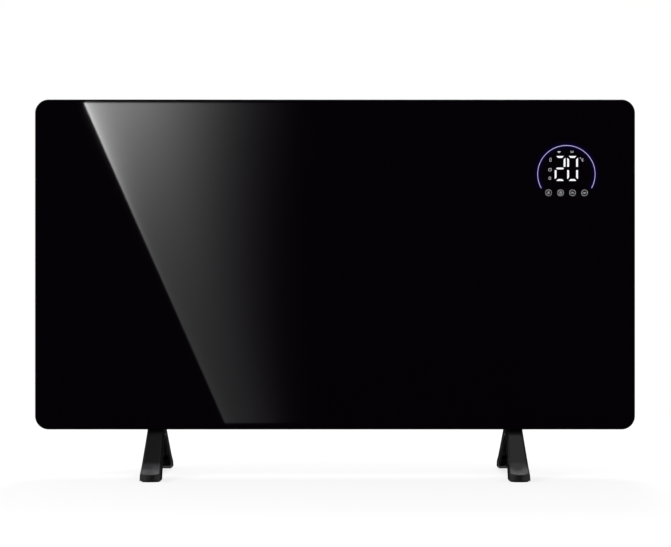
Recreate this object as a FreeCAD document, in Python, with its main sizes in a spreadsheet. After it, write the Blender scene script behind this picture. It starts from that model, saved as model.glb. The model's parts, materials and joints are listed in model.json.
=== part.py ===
import FreeCAD, Part
import math
import os
import re

import Sketcher
from FreeCAD import Placement, Rotation, Vector

# Glass-front infrared heater on two moulded feet.
# Frame: +Z up, -Y to the front, +X to the right of someone who faces the glass.
# The floor is z = 0 and the feet are centred on the origin.

# Driving dimensions in millimetres, angles in degrees.
SIZES = {
    # front glass
    "glass_width": 800,
    "glass_height": 440,
    "glass_thickness": 5,
    "glass_corner": 18,
    "glass_bevel": 1,
    "glass_front": 36,
    "floor_gap": 63,
    # chassis frame, its bond to the glass and the rear cover
    "case_inset": 26,
    "case_corner": 16,
    "case_back": 36,
    "cover_gauge": 1,
    "cover_play": 0.3,
    "cover_edge": 8,
    "chassis_gauge": 1.2,
    "chassis_depth": 16,
    "flange_width": 16,
    "opening_corner": 8,
    "bond_thickness": 2.5,
    "bond_width": 5,
    "bond_margin": 1.5,
    # vents, stiffening panel and wall keyholes of the cover
    "vent_count": 20,
    "vent_from_end": 70.2,
    "vent_width": 5,
    "vent_length": 40,
    "vent_margin": 52,
    "panel_from_end": 24.2,
    "panel_from_edge": 104,
    "panel_depth": 3,
    "panel_corner": 20,
    "inlet_count": 14,
    "inlet_from_foot": 71,
    "inlet_width": 6,
    "inlet_length": 20,
    "keyhole_from_end": 54,
    "keyhole_drop": 58,
    "keyhole_entry": 5,
    "keyhole_slot": 5,
    "keyhole_rise": 12,
    # outlet grille in the top of the cover
    "grille_columns": 8,
    "grille_rows": 3,
    "grille_from_end": 15.2,
    "grille_row_pitch": 6,
    "grille_web": 4,
    "grille_slit_width": 4.4,
    "grille_border": 4,
    "grille_depth": 6,
    "grille_flange": 1.6,
    "grille_middle": 12.5,
    # heating stack
    "control_bay": 145,
    "film_margin": 5,
    "film_thickness": 0.6,
    "track_thickness": 0.3,
    "mica_thickness": 1,
    "foil_thickness": 0.3,
    "insulation_thickness": 18,
    "track_pairs": 5,
    "track_margin": 8,
    "track_gap": 8,
    "link_width": 24,
    "stud_radius": 2.5,
    "stud_head_radius": 6.5,
    "stud_nut_radius": 5,
    "stud_nut_height": 4,
    "stud_tail": 7,
    # cross bars and overheat cut-outs
    "bar_width": 30,
    "bar_gauge": 1.2,
    "bar_from_end": 129.2,
    "bar_gap": 1.5,
    "cutout_cup_width": 15,
    "cutout_plate_width": 24,
    "cutout_plate": 1.5,
    "cutout_body_width": 17,
    "cutout_body_height": 9,
    "cutout_blade_pitch": 8,
    "blade_width": 6.3,
    "blade_thickness": 0.8,
    "blade_length": 9,
    # heat shield and its grommet
    "shield_gauge": 1,
    "shield_tab": 14,
    "shield_gap": 2,
    "grommet_width": 10,
    "grommet_lip": 1.5,
    "lead_hole": 1.7,
    # display module
    "display_from_side": 5.2,
    "display_from_head": 10.8,
    "display_depth": 8,
    "display_board_width": 86,
    "display_width_drawn": 86,
    "display_board_height_drawn": 84,
    "display_board_rise_drawn": 3.5,
    "pcb_thickness": 1.6,
    "carrier_wall": 2,
    "carrier_ledge": 2,
    "carrier_tail": 3,
    "ear_length": 15,
    "ear_height": 14,
    "ear_thickness": 3,
    "ear_spacing": 50,
    "lens_gap": 0.4,
    "digit_module_width_drawn": 36,
    "digit_module_height_drawn": 38,
    "digit_rise_drawn": 7.6,
    "digit_bevel": 0.8,
    "arc_radius_drawn": 38.3,
    "arc_band": 2,
    "arc_sweep": 238,
    "key_pitch_drawn": 16,
    "key_drop_drawn": 24.8,
    "key_count": 4,
    "key_pad_width_drawn": 8,
    "icon_size_drawn": 3,
    "icon_height": 1.2,
    "icon_column_drawn": 22,
    "icon_column_top_drawn": 19.2,
    "icon_column_pitch_drawn": 12.2,
    "icon_column_count": 3,
    "icon_row_left_drawn": 10,
    "icon_row_rise_drawn": 30,
    "icon_row_pitch_drawn": 17.5,
    "unit_icon_side_drawn": 20.6,
    "plug_width": 17,
    "plug_depth": 5,
    "plug_height": 6,
    "ribbon_width": 14,
    "ribbon_thickness": 1.2,
    "ribbon_bend": 12,
    # power board
    "board_from_shield": 22,
    "board_rise": 76,
    "board_width": 100,
    "board_height": 170,
    "board_corner_inset": 6,
    "standoff_height": 8,
    "standoff_radius": 3.5,
    "relay_width": 15.5,
    "relay_length": 19,
    "relay_height": 15,
    "relay_pitch": 30,
    "relay_rise": 108,
    "relay_side": 30,
    "supply_width": 36,
    "supply_length": 22,
    "supply_height": 15,
    "supply_rise": 136,
    "supply_side": 12,
    "block_width": 14,
    "block_height": 13,
    "block_rise": 17,
    "block_pitch": 15,
    "block_poles": 5,
    "block_side": 5,
    "block_entry": 5,
    "block_entry_width": 4,
    "block_well_width": 5,
    "block_well_depth": 4,
    "sensor_plug_width": 8,
    # tilt switch
    "tilt_side": 72,
    "tilt_rise": 13,
    "tilt_width": 14.5,
    "tilt_depth": 26,
    "tilt_height": 28,
    "tilt_wall": 1.5,
    "tilt_pivot_drop": 7,
    "tilt_pin_radius": 1.5,
    "tilt_eye_radius": 4,
    "tilt_arm": 13,
    "tilt_arm_width": 3,
    "tilt_bob_width": 9,
    "tilt_bob_height": 9,
    "tilt_swing_width": 8,
    "pin_clearance": 0.05,
    # mains switch
    "switch_middle": 7,
    "switch_from_floor": 76,
    "switch_body_height": 27.4,
    "switch_body_width": 20.8,
    "switch_depth": 24,
    "switch_play": 0.2,
    "bezel_height": 31,
    "bezel_width": 24.4,
    "bezel_thickness": 2,
    "window_height": 25.4,
    "rocker_width": 16.4,
    "rocker_play": 0.3,
    "rocker_half": 11,
    "rocker_crown": 6.5,
    "rocker_dip": 4.2,
    "rocker_keel": 5,
    "rocker_keel_half": 6,
    "rocker_pivot_sink": 4.5,
    "rocker_tilt": 10,
    "rocker_well": 9.5,
    "trunnion_radius": 1.5,
    "trunnion_end": 10.1,
    "blade_spread": 14,
    "blade_rows": 10,
    # cord gland
    "gland_middle": 7,
    "gland_from_floor": 33,
    "gland_bore": 3.75,
    "gland_thread_radius": 7,
    "gland_thread_length": 14,
    "gland_flange_radius": 10,
    "gland_flange": 3,
    "gland_clamp_radius": 8.2,
    "gland_clamp": 11,
    "gland_play": 0.2,
    "nut_radius": 11,
    "nut_height": 5,
    # room sensor
    "sensor_from_end": 74,
    "sensor_y": 5,
    "cage_flange_width": 18,
    "cage_flange": 2,
    "cage_width": 13,
    "cage_neck_width": 10,
    "cage_neck": 4,
    "cage_bore": 8,
    "cage_drop": 16,
    "cage_window": 4,
    "sensor_radius": 2.4,
    "sensor_drop": 12,
    "sensor_collar": 2,
    # feet
    "foot_from_end": 160,
    "foot_length": 238,
    "foot_width_floor": 28,
    "foot_width_top": 18.4,
    "toe_height": 9.5,
    "nose_curve": 24,
    "nose_rise": 7.5,
    "ankle_from_toe": 24,
    "ankle_height": 20,
    "ankle_curve": 40,
    "knee_height": 62.5,
    "knee_curve": 6,
    "neck_half": 28.5,
    "foot_wall": 3,
    "foot_edge": 2,
    "bridge_thickness": 5,
    "arch_from_toe": 27,
    "arch_height": 62,
    "arch_curve": 35,
    "toe_solid": 14,
    "toe_plate": 3.5,
    "rib_thickness": 2,
    "pad_width": 17,
    "pad_proud": 1.5,
    "pad_recess": 1.2,
    "pad_play": 0.15,
    "bracket_width": 44,
    "bracket_depth": 34,
    "bracket_thickness": 3,
    "foot_screw_middle": 8,
    "foot_screw_pitch": 18,
    # screws: sheet screws, foot screws and board screws
    "sheet_head_radius": 3.5,
    "sheet_head_height": 2.2,
    "sheet_shank_radius": 1.95,
    "sheet_shank_length": 4,
    "foot_head_radius": 4.7,
    "foot_head_height": 3,
    "foot_shank_radius": 2.45,
    "foot_shank_length": 10,
    "board_head_radius": 2.7,
    "board_head_height": 1.8,
    "board_shank_radius": 1.45,
    "board_shank_length": 7,
    "thread_clearance": 0.05,
    "hole_clearance": 0.25,
    "cover_screw_from_end": 64,
    "cover_screw_inset": 110,
    # leads
    "lead_radius": 1.6,
    "lead_ease": 8,
    "lead_depth": 6,
    "sensor_lead_radius": 1,
    "sensor_lead_rise": 40,
    "switch_lead_stagger": 10,
}

# Places worked out from the driving dimensions, each from the names above it.
PLACES = {
    "glass_face": "-glass_front",
    "glass_back": "glass_face + glass_thickness",
    "glass_top": "floor_gap + glass_height",
    "flange_face": "glass_back + bond_thickness",
    "flange_back": "flange_face + chassis_gauge",
    "case_half": "glass_width / 2 - case_inset",
    "case_bottom": "floor_gap + case_inset",
    "case_top": "glass_top - case_inset",
    "case_middle": "(case_bottom + case_top) / 2",
    "cover_screw_x": "case_half - cover_screw_from_end",
    "keyhole_x": "case_half - keyhole_from_end",
    "sensor_x": "case_half - sensor_from_end",
    "foot_x": "glass_width / 2 - foot_from_end",
    "inlet_pitch": "2 * (foot_x - inlet_from_foot) / (inlet_count - 1)",
    "panel_height": "case_top - case_bottom - 2 * panel_from_edge",
    "cover_inner_back": "case_back - cover_gauge",
    "cover_floor": "case_bottom + cover_gauge",
    "chassis_half": "case_half - cover_gauge - cover_play",
    "chassis_bottom": "cover_floor + cover_play",
    "chassis_top": "case_top - cover_gauge - cover_play",
    "chassis_rear": "flange_face + chassis_depth",
    "wall_screw_depth": "(flange_back + chassis_rear) / 2",
    "opening_half": "chassis_half - flange_width",
    "opening_bottom": "chassis_bottom + flange_width",
    "opening_top": "chassis_top - flange_width",
    # heating stack, from the glass backwards
    "shield_left": "opening_half - control_bay",
    "film_left": "-opening_half + film_margin",
    "film_right": "shield_left - film_margin",
    "film_bottom": "opening_bottom + film_margin",
    "film_top": "opening_top - film_margin",
    "film_width": "film_right - film_left",
    "heat_middle": "(film_left + film_right) / 2",
    "panel_width": "film_width - 2 * panel_from_end",
    "vent_pitch": "(film_width - 2 * vent_from_end) / (vent_count - 1)",
    "grille_pitch": "(film_width - 2 * grille_from_end) / grille_columns",
    "grille_slit": "grille_pitch - grille_web",
    "bar_spread": "film_width - 2 * bar_from_end",
    "film_back": "glass_back + film_thickness",
    "track_back": "film_back + track_thickness",
    "mica_back": "track_back + mica_thickness",
    "foil_back": "mica_back + foil_thickness",
    "insulation_back": "foil_back + insulation_thickness",
    "track_left": "film_left + track_margin",
    "track_right": "film_right - track_margin",
    "track_bottom": "film_bottom + track_margin",
    "track_top": "film_top - track_margin",
    "track_pitch": "(track_top - track_bottom + track_gap) / (2 * track_pairs)",
    "strip_width": "track_pitch - track_gap",
    "stud_x": "track_right - strip_width / 2",
    "stud_low": "track_bottom + strip_width / 2",
    "stud_high": "track_top - strip_width / 2",
    "stud_tip": "insulation_back + stud_tail",
    # cross bars and shield
    "bar_back": "insulation_back + bar_gauge",
    "bar_low": "film_bottom - bar_gap - bar_gauge",
    "bar_high": "film_top + bar_gap + bar_gauge",
    "foot_low": "chassis_bottom + chassis_gauge + bar_gap",
    "foot_high": "chassis_top - chassis_gauge - bar_gap",
    "fix_low": "(foot_low + opening_bottom) / 2",
    "fix_high": "(foot_high + opening_top) / 2",
    "shield_right": "shield_left + shield_gauge",
    "shield_back": "cover_inner_back - shield_gap",
    "shield_fix": "shield_right + shield_tab / 2",
    # display module
    "display_scale": "display_board_width / display_width_drawn",
    "display_board_height": "display_scale * display_board_height_drawn",
    "display_board_rise": "display_scale * display_board_rise_drawn",
    "digit_module_width": "display_scale * digit_module_width_drawn",
    "digit_module_height": "display_scale * digit_module_height_drawn",
    "digit_rise": "display_scale * digit_rise_drawn",
    "arc_radius": "display_scale * arc_radius_drawn",
    "key_pitch": "display_scale * key_pitch_drawn",
    "key_drop": "display_scale * key_drop_drawn",
    "key_pad_width": "display_scale * key_pad_width_drawn",
    "icon_size": "display_scale * icon_size_drawn",
    "icon_column": "display_scale * icon_column_drawn",
    "icon_column_top": "display_scale * icon_column_top_drawn",
    "icon_column_pitch": "display_scale * icon_column_pitch_drawn",
    "icon_row_left": "display_scale * icon_row_left_drawn",
    "icon_row_rise": "display_scale * icon_row_rise_drawn",
    "icon_row_pitch": "display_scale * icon_row_pitch_drawn",
    "unit_icon_side": "display_scale * unit_icon_side_drawn",
    "display_x": "opening_half - display_from_side - display_board_width / 2",
    "display_z": "opening_top - display_from_head - display_board_height / 2 - display_board_rise",
    "display_face": "glass_back + display_depth",
    "display_rear": "display_face + pcb_thickness",
    "display_left": "display_x - display_board_width / 2",
    "display_right": "display_x + display_board_width / 2",
    "display_low": "display_z + display_board_rise - display_board_height / 2",
    "display_high": "display_low + display_board_height",
    "display_centre": "(display_low + display_high) / 2",
    "carrier_reach": "cover_play + carrier_wall",
    "ear_x": "opening_half + ear_length / 2 - carrier_wall",
    "lens_face": "glass_back + lens_gap",
    "plug_low": "display_high - 2 * plug_height",
    "ribbon_level": "plug_low + plug_height / 2",
    # power board
    "board_left": "shield_right + board_from_shield",
    "board_right": "board_left + board_width",
    "board_bottom": "case_bottom + board_rise",
    "board_top": "board_bottom + board_height",
    "board_back": "cover_inner_back - standoff_height",
    "board_face": "board_back - pcb_thickness",
    "ribbon_drop": "board_face - plug_depth / 2",
    "block_left": "board_left + block_side",
    "block_right": "block_left + block_width",
    "block_bottom": "board_bottom + block_rise",
    "block_first": "block_bottom + block_pitch / 2",
    "lead_level": "board_face - lead_depth",
    # tilt switch
    "tilt_left": "board_left + tilt_side",
    "tilt_right": "tilt_left + tilt_width",
    "tilt_front": "board_face - tilt_depth",
    "tilt_bottom": "board_bottom + tilt_rise",
    "tilt_top": "tilt_bottom + tilt_height",
    "tilt_pivot_y": "board_face - tilt_depth / 2",
    "tilt_pivot_z": "tilt_top - tilt_pivot_drop",
    "tilt_bob_z": "tilt_pivot_z - tilt_arm",
    "tilt_middle": "(tilt_left + tilt_wall + tilt_right) / 2",
    # mains switch and cord gland
    "switch_rise": "case_bottom + switch_from_floor",
    "gland_rise": "case_bottom + gland_from_floor",
    "switch_inner": "case_half - switch_depth",
    "bezel_face": "case_half + bezel_thickness",
    "rocker_x": "bezel_face - rocker_pivot_sink",
    "well_floor": "rocker_x - rocker_well",
    "well_width": "rocker_width + 2 * rocker_play",
    # feet
    "foot_half": "foot_length / 2",
    "toe_centre": "foot_half - foot_width_floor / 2",
    "nose_slope": "2 * nose_rise / foot_width_floor",
    "nose_corner": "foot_half + nose_curve * (sqrt(1 + nose_slope ^ 2) - 1)",
    "shoulder": "nose_corner - nose_rise",
    "ankle_reach": "foot_half - ankle_from_toe",
    "arch_reach": "foot_half - arch_from_toe",
    "rib_reach": "(neck_half + ankle_reach) / 2",
    "slope_rise": "knee_height - ankle_height",
    "slope_run": "ankle_reach - neck_half",
    "slope_shift": "foot_wall * sqrt(slope_rise ^ 2 + slope_run ^ 2) / slope_rise",
    "core_neck": "neck_half - foot_wall",
    "core_knee": "knee_height - (slope_shift - foot_wall) * slope_rise / slope_run",
    "core_ankle": "ankle_reach - slope_shift + foot_wall * slope_run / slope_rise",
    "core_reach": "foot_half - toe_solid",
    "toe_fall": "(ankle_height - toe_height) / (foot_half - ankle_reach)",
    "core_toe": "toe_height + toe_solid * toe_fall - foot_wall",
    "core_floor": "pad_proud + toe_plate",
    "bridge_bottom": "case_bottom - bridge_thickness",
}

PLANES = {"x": ("YZ_Plane", 1), "y": ("XZ_Plane", -1), "z": ("XY_Plane", 1)}
TOWARDS = {
    "right": Vector(1, 0, 0),
    "left": Vector(-1, 0, 0),
    "back": Vector(0, 1, 0),
    "front": Vector(0, -1, 0),
    "up": Vector(0, 0, 1),
    "down": Vector(0, 0, -1),
}
POSITION_TOLERANCE = 0.01
LEAD_SIDES = 6

doc = FreeCAD.newDocument("infrared_heater")
sheet = doc.addObject("Spreadsheet::Sheet", "Dims")
for row, (alias, size) in enumerate(SIZES.items(), start=1):
    sheet.set(f"A{row}", alias)
    sheet.set(f"B{row}", str(size))
    sheet.setAlias(f"B{row}", alias)
doc.recompute()

bound_names = {alias: f"Dims.{alias}" for alias in SIZES}


def bound(text):
    """Return an expression in plain names as one on the spreadsheet's cells."""
    return re.sub(r"[a-z_]+", lambda match: bound_names.get(match.group(), match.group()), text)


for place_name, place_text in PLACES.items():
    bound_names[place_name] = f"({bound(place_text)})"


def number(text):
    """Return the present value of an expression in plain names."""
    return float(sheet.evalExpression(bound(text)))


# Outlines: each is a list that draw() turns into constrained sketch geometry.
def polygon(*corners):
    """Return a closed outline through corners (across, up) or (across, up, radius)."""
    return ("polygon", corners)


def rectangle(left, right, low, high, radius=None):
    """Return a rectangle, with rounded corners where a radius is given."""
    corners = [(left, low), (right, low), (right, high), (left, high)]
    if radius:
        corners = [corner + (radius,) for corner in corners]
    return ("polygon", corners)


def centred(across, up, width, height):
    """Return a rectangle centred on a point."""
    return rectangle(f"{across} - ({width}) / 2", f"{across} + ({width}) / 2",
                     f"{up} - ({height}) / 2", f"{up} + ({height}) / 2")


def hexagon(across, up, radius, upright=False):
    """Return a regular hexagon with corners left and right, or above and below where it is upright."""
    long, half, tall = f"({radius})", f"({radius}) / 2", f"({radius}) * sqrt(3) / 2"
    steps = [("+", long, "+", "0"), ("+", half, "+", tall), ("-", half, "+", tall),
             ("-", long, "-", "0"), ("-", half, "-", tall), ("+", half, "-", tall)]
    if upright:
        steps = [(rise, tallness, side, reach) for side, reach, rise, tallness in steps]
    return polygon(*((f"{across} {side} {reach}", f"{up} {rise} {tallness}")
                     for side, reach, rise, tallness in steps))


def disc(across, up, radius):
    """Return a circle."""
    return ("disc", across, up, radius)


def slot(across, up, length, width):
    """Return an upright slot with round ends, centred on a point."""
    return ("slot", across, up, length, width)


def bind(sketch, constraint, text):
    """Add a dimension to a sketch and bind it to an expression."""
    index = sketch.addConstraint(constraint)
    sketch.setExpression(f"Constraints[{index}]", bound(text))


def fix_point(sketch, geometry, position, across, up):
    """Hold a sketch point at two bound coordinates."""
    bind(sketch, Sketcher.Constraint("DistanceX", geometry, position, number(across)), across)
    bind(sketch, Sketcher.Constraint("DistanceY", geometry, position, number(up)), up)


def draw_disc(sketch, across, up, radius):
    """Draw a bound circle."""
    centre = Vector(number(across), number(up), 0)
    circle = sketch.addGeometry(Part.Circle(centre, Vector(0, 0, 1), number(radius)))
    fix_point(sketch, circle, 3, across, up)
    bind(sketch, Sketcher.Constraint("Radius", circle, number(radius)), radius)


def draw_slot(sketch, across, up, length, width):
    """Draw a bound slot: two half circles and the two lines between them."""
    reach = f"(({length}) - ({width})) / 2"
    first, last = (across, f"{up} + {reach}"), (across, f"{up} - {reach}")
    radius = number(width) / 2
    arcs = []
    for (x, y), angle in ((first, 0), (last, math.pi)):
        circle = Part.Circle(Vector(number(x), number(y), 0), Vector(0, 0, 1), radius)
        arcs.append(sketch.addGeometry(Part.ArcOfCircle(circle, angle, angle + math.pi)))
    for begin, finish in (arcs, arcs[::-1]):
        line = Part.LineSegment(sketch.getPoint(begin, 2), sketch.getPoint(finish, 1))
        side = sketch.addGeometry(line)
        sketch.addConstraint(Sketcher.Constraint("Tangent", begin, 2, side, 1))
        sketch.addConstraint(Sketcher.Constraint("Tangent", side, 2, finish, 1))
    fix_point(sketch, arcs[0], 3, *first)
    fix_point(sketch, arcs[1], 3, *last)
    sketch.addConstraint(Sketcher.Constraint("Equal", arcs[0], arcs[1]))
    bind(sketch, Sketcher.Constraint("Radius", arcs[0], radius), f"({width}) / 2")


def corner_arc(before, corner, after, radius):
    """Return the tangent points and the arc that round a corner, and whether it turns left."""
    back = (before - corner).normalize()
    ahead = (after - corner).normalize()
    half_angle = back.getAngle(ahead) / 2
    reach = radius / math.tan(half_angle)
    entry = corner + back * reach
    leave = corner + ahead * reach
    centre = corner + (back + ahead).normalize() * (radius / math.sin(half_angle))
    turns_left = (ahead.cross(back)).z > 0
    first, last = (entry, leave) if turns_left else (leave, entry)
    angles = [math.atan2(point.y - centre.y, point.x - centre.x) for point in (first, last)]
    circle = Part.Circle(centre, Vector(0, 0, 1), radius)
    return entry, leave, Part.ArcOfCircle(circle, *angles), turns_left


def draw_polygon(sketch, corners):
    """Draw a bound outline of lines, with a tangent arc at each rounded corner."""
    points = [Vector(number(corner[0]), number(corner[1]), 0) for corner in corners]
    count = len(points)
    entries, leaves, arcs = list(points), list(points), {}
    for index, corner in enumerate(corners):
        if len(corner) > 2:
            around = points[index - 1], points[index], points[(index + 1) % count]
            entry, leave, arc, turns_left = corner_arc(*around, number(corner[2]))
            entries[index], leaves[index] = entry, leave
            arcs[index] = (arc, turns_left)
    lines = []
    for index in range(count):
        line = Part.LineSegment(leaves[index], entries[(index + 1) % count])
        lines.append(sketch.addGeometry(line))
    for index, corner in enumerate(corners):
        before, after = lines[index - 1], lines[index]
        if index not in arcs:
            sketch.addConstraint(Sketcher.Constraint("Coincident", before, 2, after, 1))
            fix_point(sketch, after, 1, corner[0], corner[1])
            continue
        arc, turns_left = arcs[index]
        first, last = (1, 2) if turns_left else (2, 1)
        bend = sketch.addGeometry(arc)
        point = sketch.addGeometry(Part.Point(points[index]), True)
        sketch.addConstraint([
            Sketcher.Constraint("Tangent", before, 2, bend, first),
            Sketcher.Constraint("Tangent", bend, last, after, 1),
            Sketcher.Constraint("PointOnObject", point, 1, before),
            Sketcher.Constraint("PointOnObject", point, 1, after),
        ])
        fix_point(sketch, point, 1, corner[0], corner[1])
        bind(sketch, Sketcher.Constraint("Radius", bend, number(corner[2])), corner[2])


def draw(sketch, outlines):
    """Draw every outline of one sketch."""
    for kind, *values in outlines:
        if kind == "disc":
            draw_disc(sketch, *values)
        elif kind == "slot":
            draw_slot(sketch, *values)
        else:
            draw_polygon(sketch, *values)


# Bodies and their features.
def new_body(label):
    """Return an empty body."""
    body = doc.addObject("PartDesign::Body", label)
    body.Label = label
    return body


def origin_of(body, role):
    """Return one of a body's origin planes or axes."""
    return next(item for item in body.Origin.OriginFeatures if item.Role == role)


def new_sketch(body, axis, level, outlines):
    """Return a sketch square to an axis, at a level along it."""
    role, sign = PLANES[axis]
    sketch = body.newObject("Sketcher::SketchObject", f"{body.Label}_sketch")
    sketch.AttachmentSupport = [(origin_of(body, role), "")]
    sketch.MapMode = "FlatFace"
    sketch.setExpression("AttachmentOffset.Base.z", bound(f"{sign} * ({level})"))
    draw(sketch, outlines)
    return sketch


def add(body, axis, low, high, *outlines, draft=None):
    """Add a prism between two levels along an axis, with a draft angle where one is given."""
    start = low if PLANES[axis][1] > 0 else high
    pad = body.newObject("PartDesign::Pad", f"{body.Label}_pad")
    pad.Profile = new_sketch(body, axis, start, outlines)
    pad.setExpression("Length", bound(f"({high}) - ({low})"))
    if draft:
        pad.setExpression("TaperAngle", bound(draft))
    doc.recompute()
    return pad


def cut(body, axis, low, high, *outlines):
    """Cut a prism between two levels along an axis, and make sure that it cut something."""
    before = body.Shape.Volume
    start = high if PLANES[axis][1] > 0 else low
    pocket = body.newObject("PartDesign::Pocket", f"{body.Label}_pocket")
    pocket.Profile = new_sketch(body, axis, start, outlines)
    pocket.setExpression("Length", bound(f"({high}) - ({low})"))
    doc.recompute()
    if body.Shape.Volume >= before:
        raise RuntimeError(f"a pocket of {body.Label} cuts nothing")
    return pocket


def turn(body, *corners, angle="360", midplane=False, about="V_Axis", axis="y"):
    """Turn a profile about an axis of its own sketch."""
    revolution = body.newObject("PartDesign::Revolution", f"{body.Label}_turning")
    profile = new_sketch(body, axis, "0", [polygon(*corners)])
    revolution.Profile = profile
    revolution.ReferenceAxis = (profile, [about])
    revolution.Midplane = midplane
    revolution.setExpression("Angle", bound(angle))
    doc.recompute()
    return revolution


def repeat(body, feature, *runs):
    """Repeat a feature along one or two axes; each run is (axis, pitch, count)."""
    pattern = body.newObject("PartDesign::LinearPattern", f"{body.Label}_pattern")
    pattern.Originals = [feature]
    for suffix, (axis, pitch, count) in zip(("", "2"), runs):
        setattr(pattern, f"Direction{suffix}", (origin_of(body, f"{axis.upper()}_Axis"), [""]))
        pattern.setExpression(f"Length{suffix}", bound(f"({pitch}) * ({count} - 1)"))
        pattern.setExpression(f"Occurrences{suffix}", bound(count))
    body.Tip = pattern
    doc.recompute()
    return pattern


def chamfer(body, width, choose):
    """Break the edges of a body that a test chooses."""
    base = body.Tip
    names = [f"Edge{i}" for i, edge in enumerate(base.Shape.Edges, start=1) if choose(edge)]
    feature = body.newObject("PartDesign::Chamfer", f"{body.Label}_chamfer")
    feature.Base = (base, names)
    feature.setExpression("Size", bound(width))
    doc.recompute()
    return feature


def shell_out(body, gauge, choose):
    """Hollow a body to sheet of one gauge, open at the face that a test chooses."""
    base = body.Tip
    names = [f"Face{i}" for i, face in enumerate(base.Shape.Faces, start=1) if choose(face)]
    feature = body.newObject("PartDesign::Thickness", f"{body.Label}_shell")
    feature.Base = (base, names)
    feature.setExpression("Value", bound(gauge))
    feature.Reversed = True
    doc.recompute()
    return feature


def lies_at(axis, level):
    """Return a test for edges or faces that lie wholly at one level along an axis."""
    place = number(level)

    def choose(item):
        low = getattr(item.BoundBox, f"{axis.upper()}Min")
        high = getattr(item.BoundBox, f"{axis.upper()}Max")
        return abs(low - place) < POSITION_TOLERANCE and abs(high - place) < POSITION_TOLERANCE

    return choose


def put(item, across, along, up, towards="up", rotation=None):
    """Place an item with its own z axis turned towards a side, or with a rotation of its own."""
    turned = rotation or Rotation(Vector(0, 0, 1), TOWARDS[towards])
    item.Placement = Placement(Vector(), turned)
    for axis, text in zip("xyz", (across, along, up)):
        item.setExpression(f"Placement.Base.{axis}", bound(text))


def group(label, items):
    """Return a compound of separate solids under one name."""
    compound = doc.addObject("Part::Compound", label)
    compound.Label = label
    compound.Links = items
    return compound


def screw(label, size):
    """Return a six-sided screw whose head sits on z = 0 and points up."""
    body = new_body(label)
    add(body, "z", f"-{size}_shank_length", "0", hexagon("0", "0", f"{size}_shank_radius"))
    add(body, "z", "0", f"{size}_head_height", hexagon("0", "0", f"{size}_head_radius"))
    return body


def screws(label, pattern_screw, places):
    """Return copies of a screw at places (across, along, up, towards)."""
    copies = []
    for place in places:
        copy = doc.addObject("App::Link", f"{label}_copy")
        copy.LinkedObject = pattern_screw
        put(copy, *place)
        copies.append(copy)
    return group(label, copies)


def lead_path(points):
    """Return the points of a lead's route with every corner cut across."""
    corners = [Vector(*(number(text) for text in point)) for point in points]
    path = [corners[0]]
    for before, corner, after in zip(corners, corners[1:], corners[2:]):
        arms = (before - corner, after - corner)
        reach = min(number("lead_ease"), *(arm.Length / 2 for arm in arms))
        path += [corner + arm * (reach / arm.Length) for arm in arms]
    return path + [corners[-1]]


def lead(points, radius):
    """Return a six-sided lead along a route, mitred wherever the route turns."""
    path = lead_path(points)
    square = Rotation(Vector(0, 0, 1), path[1] - path[0])
    ring = []
    for step in range(LEAD_SIDES):
        angle = 2 * math.pi * step / LEAD_SIDES
        ring.append(path[0] + square.multVec(Vector(math.cos(angle), math.sin(angle), 0) * number(radius)))
    faces = [Part.Face(Part.makePolygon(ring + ring[:1]))]
    for index in range(1, len(path)):
        run = (path[index] - path[index - 1]).normalize()
        ahead = path[min(index + 1, len(path) - 1)] - path[index]
        normal = run + ahead.normalize() if ahead.Length else run
        reached = [point + run * ((path[index] - point).dot(normal) / run.dot(normal)) for point in ring]
        for side in range(LEAD_SIDES):
            corners = [ring[side - 1], ring[side], reached[side], reached[side - 1], ring[side - 1]]
            faces.append(Part.Face(Part.makePolygon(corners)))
        ring = reached
    faces.append(Part.Face(Part.makePolygon(ring + ring[:1])))
    shell = Part.makeShell(faces)
    shell.sewShape()
    solid = Part.makeSolid(shell)
    if solid.Volume < 0:
        solid.reverse()
    return solid


def leads(label, routes, radius):
    """Return one or more leads under one name."""
    feature = doc.addObject("Part::Feature", label)
    feature.Label = label
    feature.Shape = Part.makeCompound([lead(route, radius) for route in routes])
    feature.Placement = Placement()
    return feature


def mirrored(text):
    """Return an expression and its negative, for pieces on both sides."""
    return (f"-({text})", text)


# Front glass: a slab with round corners and a ground front edge.
def make_front_glass():
    """Return the front glass."""
    glass = new_body("front_glass")
    add(glass, "y", "glass_face", "glass_back",
        rectangle("-glass_width / 2", "glass_width / 2", "floor_gap", "glass_top", "glass_corner"))
    chamfer(glass, "glass_bevel", lies_at("y", "glass_face"))
    return glass


def make_bond_bead():
    """Return the silicone bead between the glass and the chassis flange."""
    bead = new_body("bond_bead")
    frames = []
    for inset in ("bond_margin", "(bond_margin + bond_width)"):
        frames.append(rectangle(f"-chassis_half + {inset}", f"chassis_half - {inset}",
                                f"chassis_bottom + {inset}", f"chassis_top - {inset}"))
    add(bead, "y", "glass_back", "flange_face", *frames)
    return bead


# Places of the screws that hold the cover, the bars, the shield and the display carrier.
WALL_SCREW_X = mirrored("cover_screw_x")
WALL_SCREW_Z = ["case_bottom + cover_screw_inset", "case_top - cover_screw_inset"]
BAR_X = [f"heat_middle {sign} bar_spread / 2" for sign in "-+"]
EAR_Z = [f"display_centre {sign} ear_spacing / 2" for sign in "-+"]
BAR_FIXINGS = [(x, z) for x in BAR_X for z in ("fix_low", "fix_high")]
SHIELD_FIXINGS = [("shield_fix", z) for z in ("fix_low", "fix_high")]
CARRIER_FIXINGS = [("ear_x", z) for z in EAR_Z]
FOOT_X = mirrored("foot_x")
FOOT_SCREW_Y = [f"foot_screw_middle {sign} foot_screw_pitch / 2" for sign in "-+"]


def drill(body, axis, low, high, radius, places):
    """Drill a set of round holes through a body."""
    return cut(body, axis, low, high, *(disc(across, up, radius) for across, up in places))


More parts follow.
